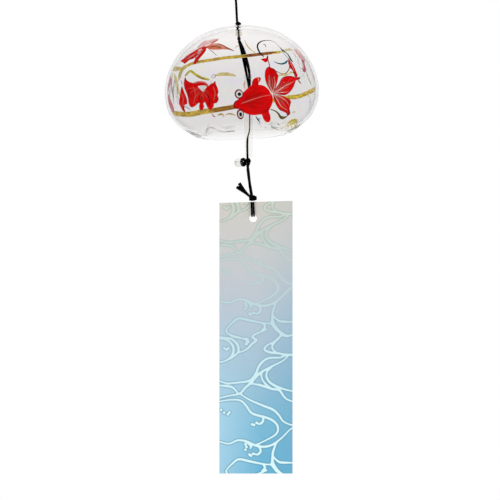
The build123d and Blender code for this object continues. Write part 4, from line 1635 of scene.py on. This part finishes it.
GOLD_BANDS = {
    "piece": "gold_bands_paint",
    "node": "gold_bands",
    "slot": "gold_enamel",
    "shapes": [("pale gold wash", 7, LEFT_HAZE), ("lemon", 6, YELLOW_LEAF)],
    "edges": [],
    "strokes": [
        ("pale gold wash", 6, [1.6, 3.4, 3.2, 1.4], [
            (-361, -920), (-365, -894), (-353, -875), (-316, -866)]),
        ("gold", 7, [0.8, 1.6, 1.7, 1.6, 1.6, 1.7, 1.7, 1.6, 1.2], [
            (-361, -899), (-360, -876), (-317, -863), (-262, -857), (-206, -856), (-141, -855),
            (-80, -852), (-14, -851), (51, -847), (103, -842), (179, -833), (251, -824)]),
        ("pale gold wash", 7, [0.8, 1.5, 1.2, 0.8], [
            (246, -825), (289, -814), (343, -803), (382, -804)]),
        ("brown", 6, [0.3, 1.4, 1.6, 1.5, 0.5], [
            (20, -849), (56, -847), (106, -842), (156, -836), (205, -830)]),
        ("gold", 7, [2.5, 2.7, 2.4, 2.3, 2.1, 2.1, 2.1, 2.2, 2.4, 2.3], [
            (-604, -1062), (-549, -1075), (-415, -1099), (-329, -1108), (-221, -1106),
            (-134, -1105), (-38, -1097), (73, -1088), (165, -1074), (259, -1058), (331, -1050),
            (411, -1026), (500, -1000), (580, -978)]),
        ("brown gold", 6, [0.4, 1.6, 1.7, 1.0], [
            (-197, -1107), (-149, -1106), (-99, -1103), (-39, -1101)]),
        ("brown", 5, [0.15, 0.3, 0.3, 0.2], [
            (-174, -1115), (-131, -1111), (-91, -1110), (-43, -1107)]),
        ("brown", 5, [0.15, 0.3, 0.3, 0.2], [
            (-155, -1097), (-116, -1095), (-78, -1095), (-41, -1093)]),
        ("lemon", 6, [0.5, 1.4, 0.9, 0.3], [
            (264, -1056), (292, -1054), (324, -1049), (356, -1040)]),
        ("lemon", 6, [0.8, 1.3, 1.2, 1.3, 1.3, 0.9], [
            (-318, -918), (-301, -908), (-286, -898), (-268, -905), (-241, -923), (-209, -941),
            (-183, -951), (-164, -956)]),
        ("olive", 5, [0.15, 0.35, 0.2], [(-321, -917), (-307, -905), (-290, -895)]),
        ("brown", 5, [0.15, 0.3, 0.15], [(-241, -928), (-204, -946), (-164, -960)]),
        ("painted reflection and grey wash", 5, [0.3, 0.6, 0.6, 0.5, 0.3], [
            (-149, -948), (-144, -938), (-134, -935), (-128, -941), (-134, -950), (-144, -950)]),
        ("pale gold wash", 7, [0.6, 1.7, 1.7, 1.0], [
            (-128, -941), (-112, -937), (-87, -936), (-57, -940), (-29, -949)]),
        ("pale gold wash", 6, [1.0, 2.2, 1.6], [(-556, -854), (-496, -855), (-391, -866)]),
        ("lemon wash", 5, [1.0, 3.0, 2.4, 1.2], [
            (-368, -932), (-368, -903), (-357, -883), (-334, -871)]),
        ("pale gold wash", 7, [0.8, 2.4, 2.6, 1.2], [
            (-444, -887), (-402, -927), (-385, -963), (-369, -1007)]),
        ("orange", 6, [0.3, 0.9, 0.4], [(-186, -1117), (-184, -1130), (-173, -1135)]),
        ("gold", 6, [0.3, 0.8, 0.5, 0.3], [
            (-155, -1131), (-132, -1126), (-115, -1133), (-126, -1138)]),
        ("gold", 6, [0.3, 0.5, 0.7, 0.3], [
            (-102, -1130), (-84, -1128), (-66, -1130), (-46, -1137)]),
        ("lemon wash", 7, [0.4, 1.1, 1.4, 1.2, 0.4], [
            (192, -954), (219, -948), (249, -942), (283, -932), (297, -936)]),
        ("lemon", 6, [0.3, 1.1, 1.3, 0.6], [
            (928, -1162), (892, -1156), (846, -1152), (800, -1142)]),
        ("lemon wash", 6, [0.3, 0.8, 0.3], [(896, -1073), (880, -1072), (865, -1076)]),
        ("gold", 6, [0.25, 0.6, 0.45, 0.25], [(38, -758), (47, -791), (65, -815), (88, -836)]),
        ("gold", 6, [0.3, 0.5, 0.2], [(-26, -800), (-12, -793), (0, -790)]),
    ],
    "dots": [],
    "fans": [],
}
RIPPLES_AND_PAINTED_REFLECTIONS = {
    "piece": "brush_ripples_and_painted_reflections",
    "node": "brush_ripples",
    "slot": "dark_enamel",
    "shapes": [],
    "edges": [],
    "strokes": [
        # Painted reflections and a painted highlight: grey and white streaks near both sides of the
        # bell.
        ("painted reflection and grey wash", 7, [0.6, 2.4, 2.2, 0.8], [
            (524, -777), (546, -836), (565, -899), (581, -949)]),
        ("painted highlight and white wash", 7, [0.6, 2.4, 2.0, 0.8], [
            (524, -771), (546, -826), (503, -889), (493, -943)]),
        ("painted reflection and grey wash", 7, [0.6, 2.2, 0.8], [(596, -1108), (609, -1077), (549, -1046)]),
        ("painted reflection and grey wash", 7, [0.6, 2.2, 2.0, 0.6], [
            (-572, -1048), (-505, -1005), (-482, -966), (-458, -927)]),
        ("painted reflection and grey wash", 7, [0.6, 1.6, 1.6, 0.6], [
            (-453, -1038), (-439, -997), (-429, -957), (-419, -916)]),
        # Painted shade: a wavy grey line on the back wall just above the rim, drawn for the rim's
        # edge.
        ("painted reflection and grey wash", 6, [0.4, 0.9, 0.9, 0.9, 0.8, 0.5], [
            (-853, -1186), (-902, -1162), (-947, -1141), (-984, -1127), (-1013, -1132),
            (-1033, -1147), (-1066, -1155), (-1111, -1153), (-1153, -1152)]),
        ("black", 5, [0.55, 0.95, 1.0, 0.9, 0.7, 0.5, 0.3], [
            (129, -854), (114, -836), (108, -812), (112, -792), (128, -777), (156, -766),
            (185, -762)]),
        ("brown", 5, [0.3, 0.35, 0.3, 0.3, 0.3], [
            (185, -762), (210, -760), (228, -762), (251, -773), (260, -792)]),
        ("black", 5, [0.3, 0.7, 0.75, 0.5], [(260, -792), (270, -812), (286, -824), (294, -837)]),
        ("black", 4, [0.3, 0.9, 1.2, 1.1, 0.5], [
            (288, -826), (297, -841), (298, -854), (301, -866), (309, -876)]),
        ("black", 5, [0.2, 0.3, 0.25], [(262, -798), (268, -832), (286, -863)]),
        ("teal", 5, [0.25, 0.5, 0.85, 1.0, 0.4], [
            (183, -881), (206, -890), (230, -891), (258, -881), (275, -870)]),
        ("olive", 5, [0.3, 0.6, 0.2], [(153, -785), (163, -789), (162, -802)]),
        ("olive", 7, [0.3, 0.45, 0.6, 1.0, 1.3, 0.9, 0.3], [
            (163, -1116), (191, -1121), (224, -1132), (258, -1147), (294, -1151), (309, -1144),
            (310, -1132)]),
        ("teal", 5, [0.3, 0.8, 0.6, 0.5], [
            (1140, -1070), (1130, -1085), (1117, -1099), (1111, -1111)]),
        ("teal", 4, [0.3, 0.5], [(1112, -1082), (1123, -1089)]),
        ("black", 5, [0.5, 1.1, 1.0, 0.4], [
            (1019, -1142), (1000, -1146), (980, -1151), (957, -1151)]),
        ("black", 5, [0.2, 0.4, 0.3], [(1046, -1125), (1004, -1140), (934, -1168)]),
        ("black", 5, [0.2, 0.3, 0.2], [(1075, -1134), (1056, -1142), (1040, -1148)]),
        ("teal", 5, [0.2, 0.5, 0.2], [(999, -1118), (976, -1128), (954, -1140)]),
    ],
    "dots": [],
    "fans": [],
}
FIGURES = (FRONT_GOLDFISH, LEFT_GOLDFISH, TOP_LEAVES, GOLD_BANDS, RIPPLES_AND_PAINTED_REFLECTIONS)


class FURIN_OT_paint_bell(bpy.types.Operator):
    """Goldfish, leaves, brush bands and ripples painted on the inside of the glass, and grey and
    white streaks as painted reflections and highlights.
    """

    bl_idname = "furin.paint_bell"
    bl_label = "Paint bell"

    def execute(self, context):
        paint = context.scene.furin_paint
        paints = {
            "red": (paint.red, 1.1, 0.8, 0.3),
            "deep red": (shades(paint.red, 0.72)[0], 1.15, 0.75, 0.3),
            "dark red": (paint.dark_red, 1.4, 0.6),
            "rose": ((0.86, 0.17, 0.15), 1.1, 0.85),
            "pink": (paint.pink, 1.1, 0.85),
            "orange": (paint.orange, 1.35, 0.7),
            "gold": (paint.gold, 1.3, 0.55, 0.3),
            "lemon": ((0.78, 0.66, 0.07), 1.15, 0.75, 0.3),
            "brown": ((0.28, 0.10, 0.03), 1.5, 0.6),
            "olive": ((0.15, 0.13, 0.02), 1.6, 0.5),
            "teal": ((0.01, 0.12, 0.17), 1.5, 0.6),
            "black": (paint.dark, 1.6, 0.5, 0.25),
            "white": ((0.93, 0.90, 0.89), 1.05, 0.95),
            "dusty rose": ((0.72, 0.20, 0.23), 1.25, 0.8),
            "scarlet": ((0.95, 0.035, 0.012), 1.1, 0.8, 0.3),
            "brown gold": ((0.45, 0.22, 0.035), 1.3, 0.6, 0.3),
            "crimson wash": ((0.56, 0.05, 0.09), 1.2, 0.8, 0.35, 0.85),
            "rose wash": ((0.85, 0.22, 0.20), 1.1, 0.9, 0.35, 0.55),
            "pink wash": ((0.86, 0.42, 0.42), 1.1, 0.9, 0.35, 0.55),
            "pale gold wash": ((0.85, 0.72, 0.26), 1.1, 0.85, 0.35, 0.8),
            "lemon wash": ((0.80, 0.70, 0.20), 1.1, 0.85, 0.35, 0.6),
            # The grey and white washes also paint reflections and highlights: streaks of light and
            # shade near the bell's sides and rim.
            "painted reflection and grey wash": ((0.40, 0.40, 0.39), 1.1, 0.85, 0.35, 0.55),
            "painted highlight and white wash": ((0.95, 0.95, 0.94), 1.0, 0.9, 0.35, 0.6),
        }
        finishes = {}
        for name, values in paints.items():
            kind = "" if name.endswith("wash") else "_enamel"
            finishes[name] = paint_finish(name.replace(" ", "_") + kind, *values)
        for figure in FIGURES:
            coat = Coat(paint.thickness)
            for name, layer, outline in figure["shapes"]:
                coat.shape(in_mm(outline), finishes[name], layer)
            for name, layer, width, outline in figure["edges"]:
                coat.edge(in_mm(outline), width, finishes[name], layer)
            for name, layer, widths, points in figure["strokes"]:
                coat.stroke(in_mm(points), widths, finishes[name], layer)
            for name, layer, width, height, place in figure["dots"]:
                coat.dot(in_mm([place])[0], width, height, finishes[name], layer)
            for seed, (name, layer, count, width, root, tips) in enumerate(figure["fans"], 1):
                start = in_mm([root])[0]
                coat.fan(start, in_mm(tips), count, width, finishes[name], layer, seed)
            coat.piece(figure["piece"], figure["node"], figure["slot"])
        return {"FINISHED"}


# Paper strip

# Printed water lines and drops of one repeat, in tenths of a millimetre: across from the left edge,
# and down from the repeat's top.
WATER_LINES = [
    [(0, 45), (39, 52), (66, 75), (74, 109), (56, 144), (24, 162), (0, 167)],
    [(0, 36), (24, 38), (64, 47), (94, 75), (99, 109), (80, 133), (56, 149)],
    [(34, 0), (44, 17), (74, 32), (114, 42), (141, 50)],
    [(134, 42), (146, 59), (133, 76)],
    [(99, 117), (124, 109), (149, 94), (169, 72), (193, 52), (171, 37), (185, 22), (229, 4),
     (249, -5)],
    [(289, -5), (320, 21), (309, 40), (289, 59), (277, 75), (275, 95), (295, 117)],
    [(385, 24), (349, 31), (320, 25)],
    [(285, 62), (259, 72), (234, 93), (241, 107), (269, 117), (299, 119), (339, 126), (385, 127)],
    [(385, 130), (344, 130), (318, 142), (260, 145), (229, 160), (204, 190), (190, 224), (159, 261),
     (99, 272), (40, 276), (-5, 262)],
    [(357, 135), (329, 160), (279, 185), (220, 217), (184, 250), (164, 274), (135, 299), (105, 330),
     (49, 341), (-5, 354)],
    [(269, 195), (249, 215), (244, 240), (260, 269), (290, 289), (340, 308), (385, 318)],
    [(221, 219), (219, 245), (235, 274), (269, 304), (310, 311), (330, 338), (350, 359),
     (385, 372)],
    [(164, 278), (209, 285), (249, 299), (269, 305)],
    [(-5, 287), (29, 290), (69, 298), (95, 326)],
    [(109, 332), (159, 363), (229, 393), (280, 414), (310, 443), (330, 472), (364, 490),
     (385, 493)],
    [(-5, 371), (60, 362), (110, 366), (140, 394), (165, 429), (200, 443), (240, 453), (275, 468),
     (300, 493), (304, 523), (285, 548), (230, 578), (185, 598)],
    [(227, 449), (227, 472), (210, 488), (195, 483)],
    [(-5, 578), (50, 590), (95, 572), (140, 578), (185, 598), (230, 606), (275, 595), (320, 563),
     (365, 518), (385, 505)],
    [(205, 606), (215, 627), (200, 646), (180, 643)],
    [(147, 587), (165, 601), (159, 617)],
    [(298, 583), (280, 627), (275, 662), (270, 697)],
    [(279, 656), (299, 677), (320, 687), (385, 689)],
    [(275, 666), (285, 702), (305, 731), (325, 746), (349, 761)],
    [(34, 733), (45, 716), (65, 696), (100, 671), (160, 682), (230, 696), (270, 698)],
    [(227, 696), (237, 716), (219, 733)],
    [(270, 701), (294, 727), (299, 733)],
]
WATER_DROPS = [
    (193, 481), (180, 493), (169, 489), (176, 642), (164, 652), (156, 646), (135, 593), (141, 607),
    (135, 622), (9, 414), (25, 429), (44, 438), (52, 427), (25, 94), (37, 102), (47, 94), (145, 46),
    (151, 60), (141, 72),
]
# In millimetres from the middle of the hole: the paper's edges, and where the print first starts.
STRIP_LEFT, STRIP_RIGHT, STRIP_FOOT = -17.5, 20.5, -132.55
STRIP_TOP_LEFT, STRIP_TOP_RIGHT = 8.0, 9.1
FIRST_REPEAT = -15.15
HOLE_RADIUS = 2.0
HALF_PAPER = 0.225
PAPER_BEVEL = 0.06
PAPER_STEP = 0.5
# The hole's place in the frame, in X and Z, and the strip's tilt in degrees.
STRIP_HOLE = (2.45, -163.65)
STRIP_TILT = 3.0


def print_distance(places, width, repeat):
    """How far each place on the paper is from the nearest printed line's edge, in millimetres."""
    spot_step = 0.3
    sharpness = 0.19
    # Close spots add up, which takes this much off the distance.
    crowding = 0.26
    block_size = 2000
    inked = []
    halves = []
    for start in (FIRST_REPEAT, FIRST_REPEAT + repeat, FIRST_REPEAT + 2 * repeat):
        for points in WATER_LINES:
            line = np.array(smooth_line(in_mm(points), per_run=10))
            run = np.concatenate([[0], np.cumsum(np.linalg.norm(np.diff(line, axis=0), axis=1))])
            even = np.linspace(0, run[-1], int(run[-1] / spot_step) + 2)
            line = np.stack([np.interp(even, run, line[:, c]) for c in (0, 1)], axis=1)
            for k, spot in enumerate(line):
                share = k / (len(line) - 1)
                inked.append((spot[0] + STRIP_LEFT, -start - spot[1]))
                halves.append(width / 2 * (0.85 + 0.35 * sin(pi * share) ** 2))
        for spot in in_mm(WATER_DROPS):
            inked.append((spot[0] + STRIP_LEFT, -start - spot[1]))
            halves.append(width * 0.85)
    inked = np.array(inked)
    halves = np.array(halves)
    distance = np.empty(len(places))
    for first in range(0, len(places), block_size):
        block = np.array(places[first:first + block_size])
        dx = block[:, None, 0] - inked[None, :, 0]
        dz = block[:, None, 1] - inked[None, :, 1]
        gap = np.hypot(dx, dz) - halves
        near = np.exp(-np.clip(gap, -2, 12) / sharpness).sum(axis=1)
        distance[first:first + block_size] = crowding - sharpness * np.log(near)
    return distance


def paper_finish():
    """Stiff paper printed with a grey to blue ground and pale water lines with darker edges."""
    strip = bpy.context.scene.furin_strip
    material, t, shader = new_material("printed_paper")
    place = t.add("ShaderNodeAttribute", attribute_name="print_place").outputs["Vector"]
    parts = t.add("ShaderNodeSeparateXYZ", {0: place}).outputs
    down = t.math("MULTIPLY", parts[1], -1.0)
    across = parts[0]

    fall = spread(t, down, -8.0, 132.7, 0.0, 1.0)
    base = ramp(t, fall, [
        (0.0, strip.top), (0.1, (0.62, 0.61, 0.585)), (0.22, (0.57, 0.595, 0.60)),
        (0.34, (0.52, 0.58, 0.635)), (0.5, strip.middle), (0.64, (0.34, 0.535, 0.665)),
        (0.8, (0.21, 0.51, 0.69)), (1.0, strip.bottom),
    ])
    at_left = spread(t, across, STRIP_LEFT, 4.0, 0.62, 0.0)
    lighter = t.math("MULTIPLY", at_left, spread(t, down, 40.0, 105.0, 0.0, 1.0))
    base = mixed(t, lighter, base, (0.50, 0.75, 0.88))
    at_right = spread(t, across, 2.0, 20.0, 0.0, 0.5)
    deeper = t.math("MULTIPLY", at_right, spread(t, down, 10.0, 90.0, 0.2, 1.0))
    base = mixed(t, deeper, base, (0.14, 0.40, 0.58))

    ink = t.add("ShaderNodeAttribute", attribute_name="print_distance").outputs["Fac"]
    edges = ramp(t, fall, [
        (0.0, (0.34, 0.43, 0.33)), (0.13, (0.36, 0.47, 0.42)), (0.22, (0.47, 0.57, 0.57)),
        (0.32, (0.48, 0.58, 0.62)), (0.42, (0.27, 0.42, 0.50)), (0.62, (0.15, 0.34, 0.45)),
        (1.0, (0.05, 0.23, 0.38)),
    ])
    lines = ramp(t, fall, [
        (0.0, (0.60, 0.67, 0.58)), (0.16, (0.53, 0.63, 0.60)), (0.28, (0.51, 0.62, 0.63)),
        (0.42, (0.52, 0.70, 0.75)), (0.6, (0.62, 0.85, 0.90)), (1.0, (0.72, 0.97, 0.98)),
    ])
    colour = mixed(t, spread(t, ink, 0.08, 0.62, 0.75, 0.0), base, edges)
    colour = mixed(t, spread(t, ink, -0.12, 0.12, 1.0, 0.0), colour, lines)
    fibres = object_noise(t, 2600.0, 5.0, stretch=(1, 1, 0.5), roughness=0.65)
    tone = spread(t, fibres, 0.25, 0.75, 0.94, 1.04)
    colour = t.add("ShaderNodeMix", {6: colour}, data_type="RGBA", blend_type="MULTIPLY")
    colour.inputs[0].default_value = 1.0
    t.links.new(grey(t, tone), colour.inputs[7])
    t.links.new(colour.outputs[2], shader.inputs["Base Color"])
    t.links.new(spread(t, fibres, 0.3, 0.7, 0.62, 0.8), shader.inputs["Roughness"])
    bump(t, shader, fibres, 0.00002)
    return material


def cut_paper():
    """The paper's face with its hole: points in mm from the hole's middle, and triangles."""
    border = []
    outline = [
        (STRIP_LEFT, STRIP_FOOT),
        (STRIP_RIGHT, STRIP_FOOT),
        (STRIP_RIGHT, STRIP_TOP_RIGHT),
        (STRIP_LEFT, STRIP_TOP_LEFT),
    ]
    for a, b in zip(outline, outline[1:] + outline[:1]):
        dx, dz = b[0] - a[0], b[1] - a[1]
        pieces = max(2, int(hypot(dx, dz) / PAPER_STEP))
        shares = [k / pieces for k in range(pieces)]
        border += [Vector((a[0] + dx * share, a[1] + dz * share)) for share in shares]
    sides = 40
    angles = [2 * pi * k / sides for k in range(sides)]
    hole = [Vector((HOLE_RADIUS * cos(a), HOLE_RADIUS * sin(a))) for a in angles]
    count = len(border)
    edges = [(k, (k + 1) % count) for k in range(count)]
    edges += [(count + k, count + (k + 1) % sides) for k in range(sides)]
    slant = (STRIP_TOP_RIGHT - STRIP_TOP_LEFT) / (STRIP_RIGHT - STRIP_LEFT)
    grid = []
    x = STRIP_LEFT + PAPER_STEP
    while x < STRIP_RIGHT - PAPER_STEP / 2:
        top = STRIP_TOP_LEFT + slant * (x - STRIP_LEFT)
        z = STRIP_FOOT + PAPER_STEP
        while z < top - PAPER_STEP / 2:
            if hypot(x, z) > HOLE_RADIUS + PAPER_STEP / 2:
                grid.append(Vector((x, z)))
            z += PAPER_STEP
        x += PAPER_STEP
    points, _, triangles, *_ = delaunay_2d_cdt(border + hole + grid, edges, [], 1, 1e-4)
    kept = []
    for a, b, c in triangles:
        middle = (points[a] + points[b] + points[c]) / 3
        if middle.length > HOLE_RADIUS * 1.01:
            kept.append((a, b, c))
    return points, kept


def in_frame(x, z, y):
    """A point of the paper at its place in the frame, in metres."""
    tilt = radians(STRIP_TILT)
    return (
        (STRIP_HOLE[0] + x * cos(tilt) + z * sin(tilt)) * MM,
        y * MM,
        (STRIP_HOLE[1] - x * sin(tilt) + z * cos(tilt)) * MM,
    )


def inward_at(point):
    """Which way the bevel draws a point of the paper's edge or of its hole."""
    if point.length < HOLE_RADIUS + 0.1:
        return point.normalized()
    across = (point.x < STRIP_LEFT + 0.1) * 1.0 - (point.x > STRIP_RIGHT - 0.1) * 1.0
    up = (point.y < STRIP_FOOT + 0.1) * 1.0 - (point.y > STRIP_TOP_LEFT - 0.1) * 1.0
    return Vector((across, up))


class FURIN_OT_print_strip(bpy.types.Operator):
    """The tall paper strip with its hole and its printed water lines."""

    bl_idname = "furin.print_strip"
    bl_label = "Print strip"

    def execute(self, context):
        strip = context.scene.furin_strip
        points, triangles = cut_paper()
        total = len(points)
        sides = {}
        for a, b, c in triangles:
            for edge in ((a, b), (b, c), (c, a)):
                sides[edge] = True
        rim = [(a, b) for a, b in sides if (b, a) not in sides]
        on_rim = {a for a, b in rim}
        inward = {a: inward_at(points[a]) for a in on_rim}
        verts = []
        for y in (-HALF_PAPER, HALF_PAPER):
            for k, p in enumerate(points):
                shift = inward.get(k, Vector((0, 0))) * PAPER_BEVEL
                verts.append(in_frame(p.x + shift.x, p.y + shift.y, y))
        middle = {}
        for level, y in enumerate((PAPER_BEVEL - HALF_PAPER, HALF_PAPER - PAPER_BEVEL)):
            for a in on_rim:
                middle[(a, level)] = len(verts)
                verts.append(in_frame(points[a].x, points[a].y, y))
        faces = []
        for a, b, c in triangles:
            faces.append((a, b, c))
            faces.append((total + c, total + b, total + a))
        for a, b in rim:
            faces.append((b, a, middle[(a, 0)], middle[(b, 0)]))
            faces.append((middle[(b, 0)], middle[(a, 0)], middle[(a, 1)], middle[(b, 1)]))
            faces.append((middle[(b, 1)], middle[(a, 1)], total + a, total + b))
        mesh = mesh_from("printed_strip", verts, faces)
        flat = [(p.x, p.y) for p in points]
        flat = flat + flat + [(points[a].x, points[a].y) for level in (0, 1) for a in on_rim]
        place = mesh.attributes.new("print_place", "FLOAT_VECTOR", "POINT")
        place.data.foreach_set("vector", [c for x, z in flat for c in (x, z, 0.0)])
        distance = mesh.attributes.new("print_distance", "FLOAT", "POINT")
        values = print_distance(flat, strip.line_width / MM, strip.repeat / MM)
        distance.data.foreach_set("value", values)
        mesh.materials.append(paper_finish())
        paper = new_object("printed_strip", mesh)
        settle(paper, "paper_strip", ["paper_strip"])
        return {"FINISHED"}


class FURIN_PT_bell(bpy.types.Panel):
    """The sizes and colours of the bell and the buttons that make its pieces."""

    bl_label = "Furin wind bell"
    bl_idname = "FURIN_PT_bell"
    bl_space_type = "VIEW_3D"
    bl_region_type = "UI"
    bl_category = "Furin"

    def draw(self, context):
        scene = context.scene
        column = self.layout.column()
        groups = {
            "furin_stage": ("distance", "floor_drop"),
            "furin_cord": ("diameter", "plies", "twists", "colour"),
            "furin_glass": ("diameter", "wobble", "wobble_size", "rim_wave", "seed", "tint"),
            "furin_paint": ("thickness", "red", "dark_red", "pink", "orange", "gold", "dark"),
            "furin_strip": ("line_width", "repeat", "top", "middle", "bottom"),
        }
        for group, names in groups.items():
            for name in names:
                column.prop(getattr(scene, group), name)
        for operator in OPERATORS:
            column.operator(operator.bl_idname)


SETTINGS = {
    "furin_stage": StageSettings,
    "furin_cord": CordSettings,
    "furin_glass": GlassSettings,
    "furin_paint": PaintSettings,
    "furin_strip": StripSettings,
}
OPERATORS = (
    FURIN_OT_set_stage,
    FURIN_OT_lay_cords,
    FURIN_OT_tie_knots,
    FURIN_OT_blow_bell,
    FURIN_OT_fit_clapper,
    FURIN_OT_paint_bell,
    FURIN_OT_print_strip,
)
CLASSES = (*SETTINGS.values(), *OPERATORS, FURIN_PT_bell)


def register():
    """Makes the settings, the operators and the panel known."""
    for part in CLASSES:
        bpy.utils.register_class(part)
    for name, settings in SETTINGS.items():
        setattr(bpy.types.Scene, name, bpy.props.PointerProperty(type=settings))


def unregister():
    """Takes the settings, the operators and the panel away again."""
    for name in SETTINGS:
        delattr(bpy.types.Scene, name)
    for part in reversed(CLASSES):
        bpy.utils.unregister_class(part)


def main():
    """Builds the bell piece by piece."""
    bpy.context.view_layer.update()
    register()
    bpy.ops.furin.set_stage()
    bpy.ops.furin.lay_cords()
    bpy.ops.furin.tie_knots()
    bpy.ops.furin.blow_bell()
    bpy.ops.furin.fit_clapper()
    bpy.ops.furin.paint_bell()
    bpy.ops.furin.print_strip()


if __name__ == "__main__":
    main()
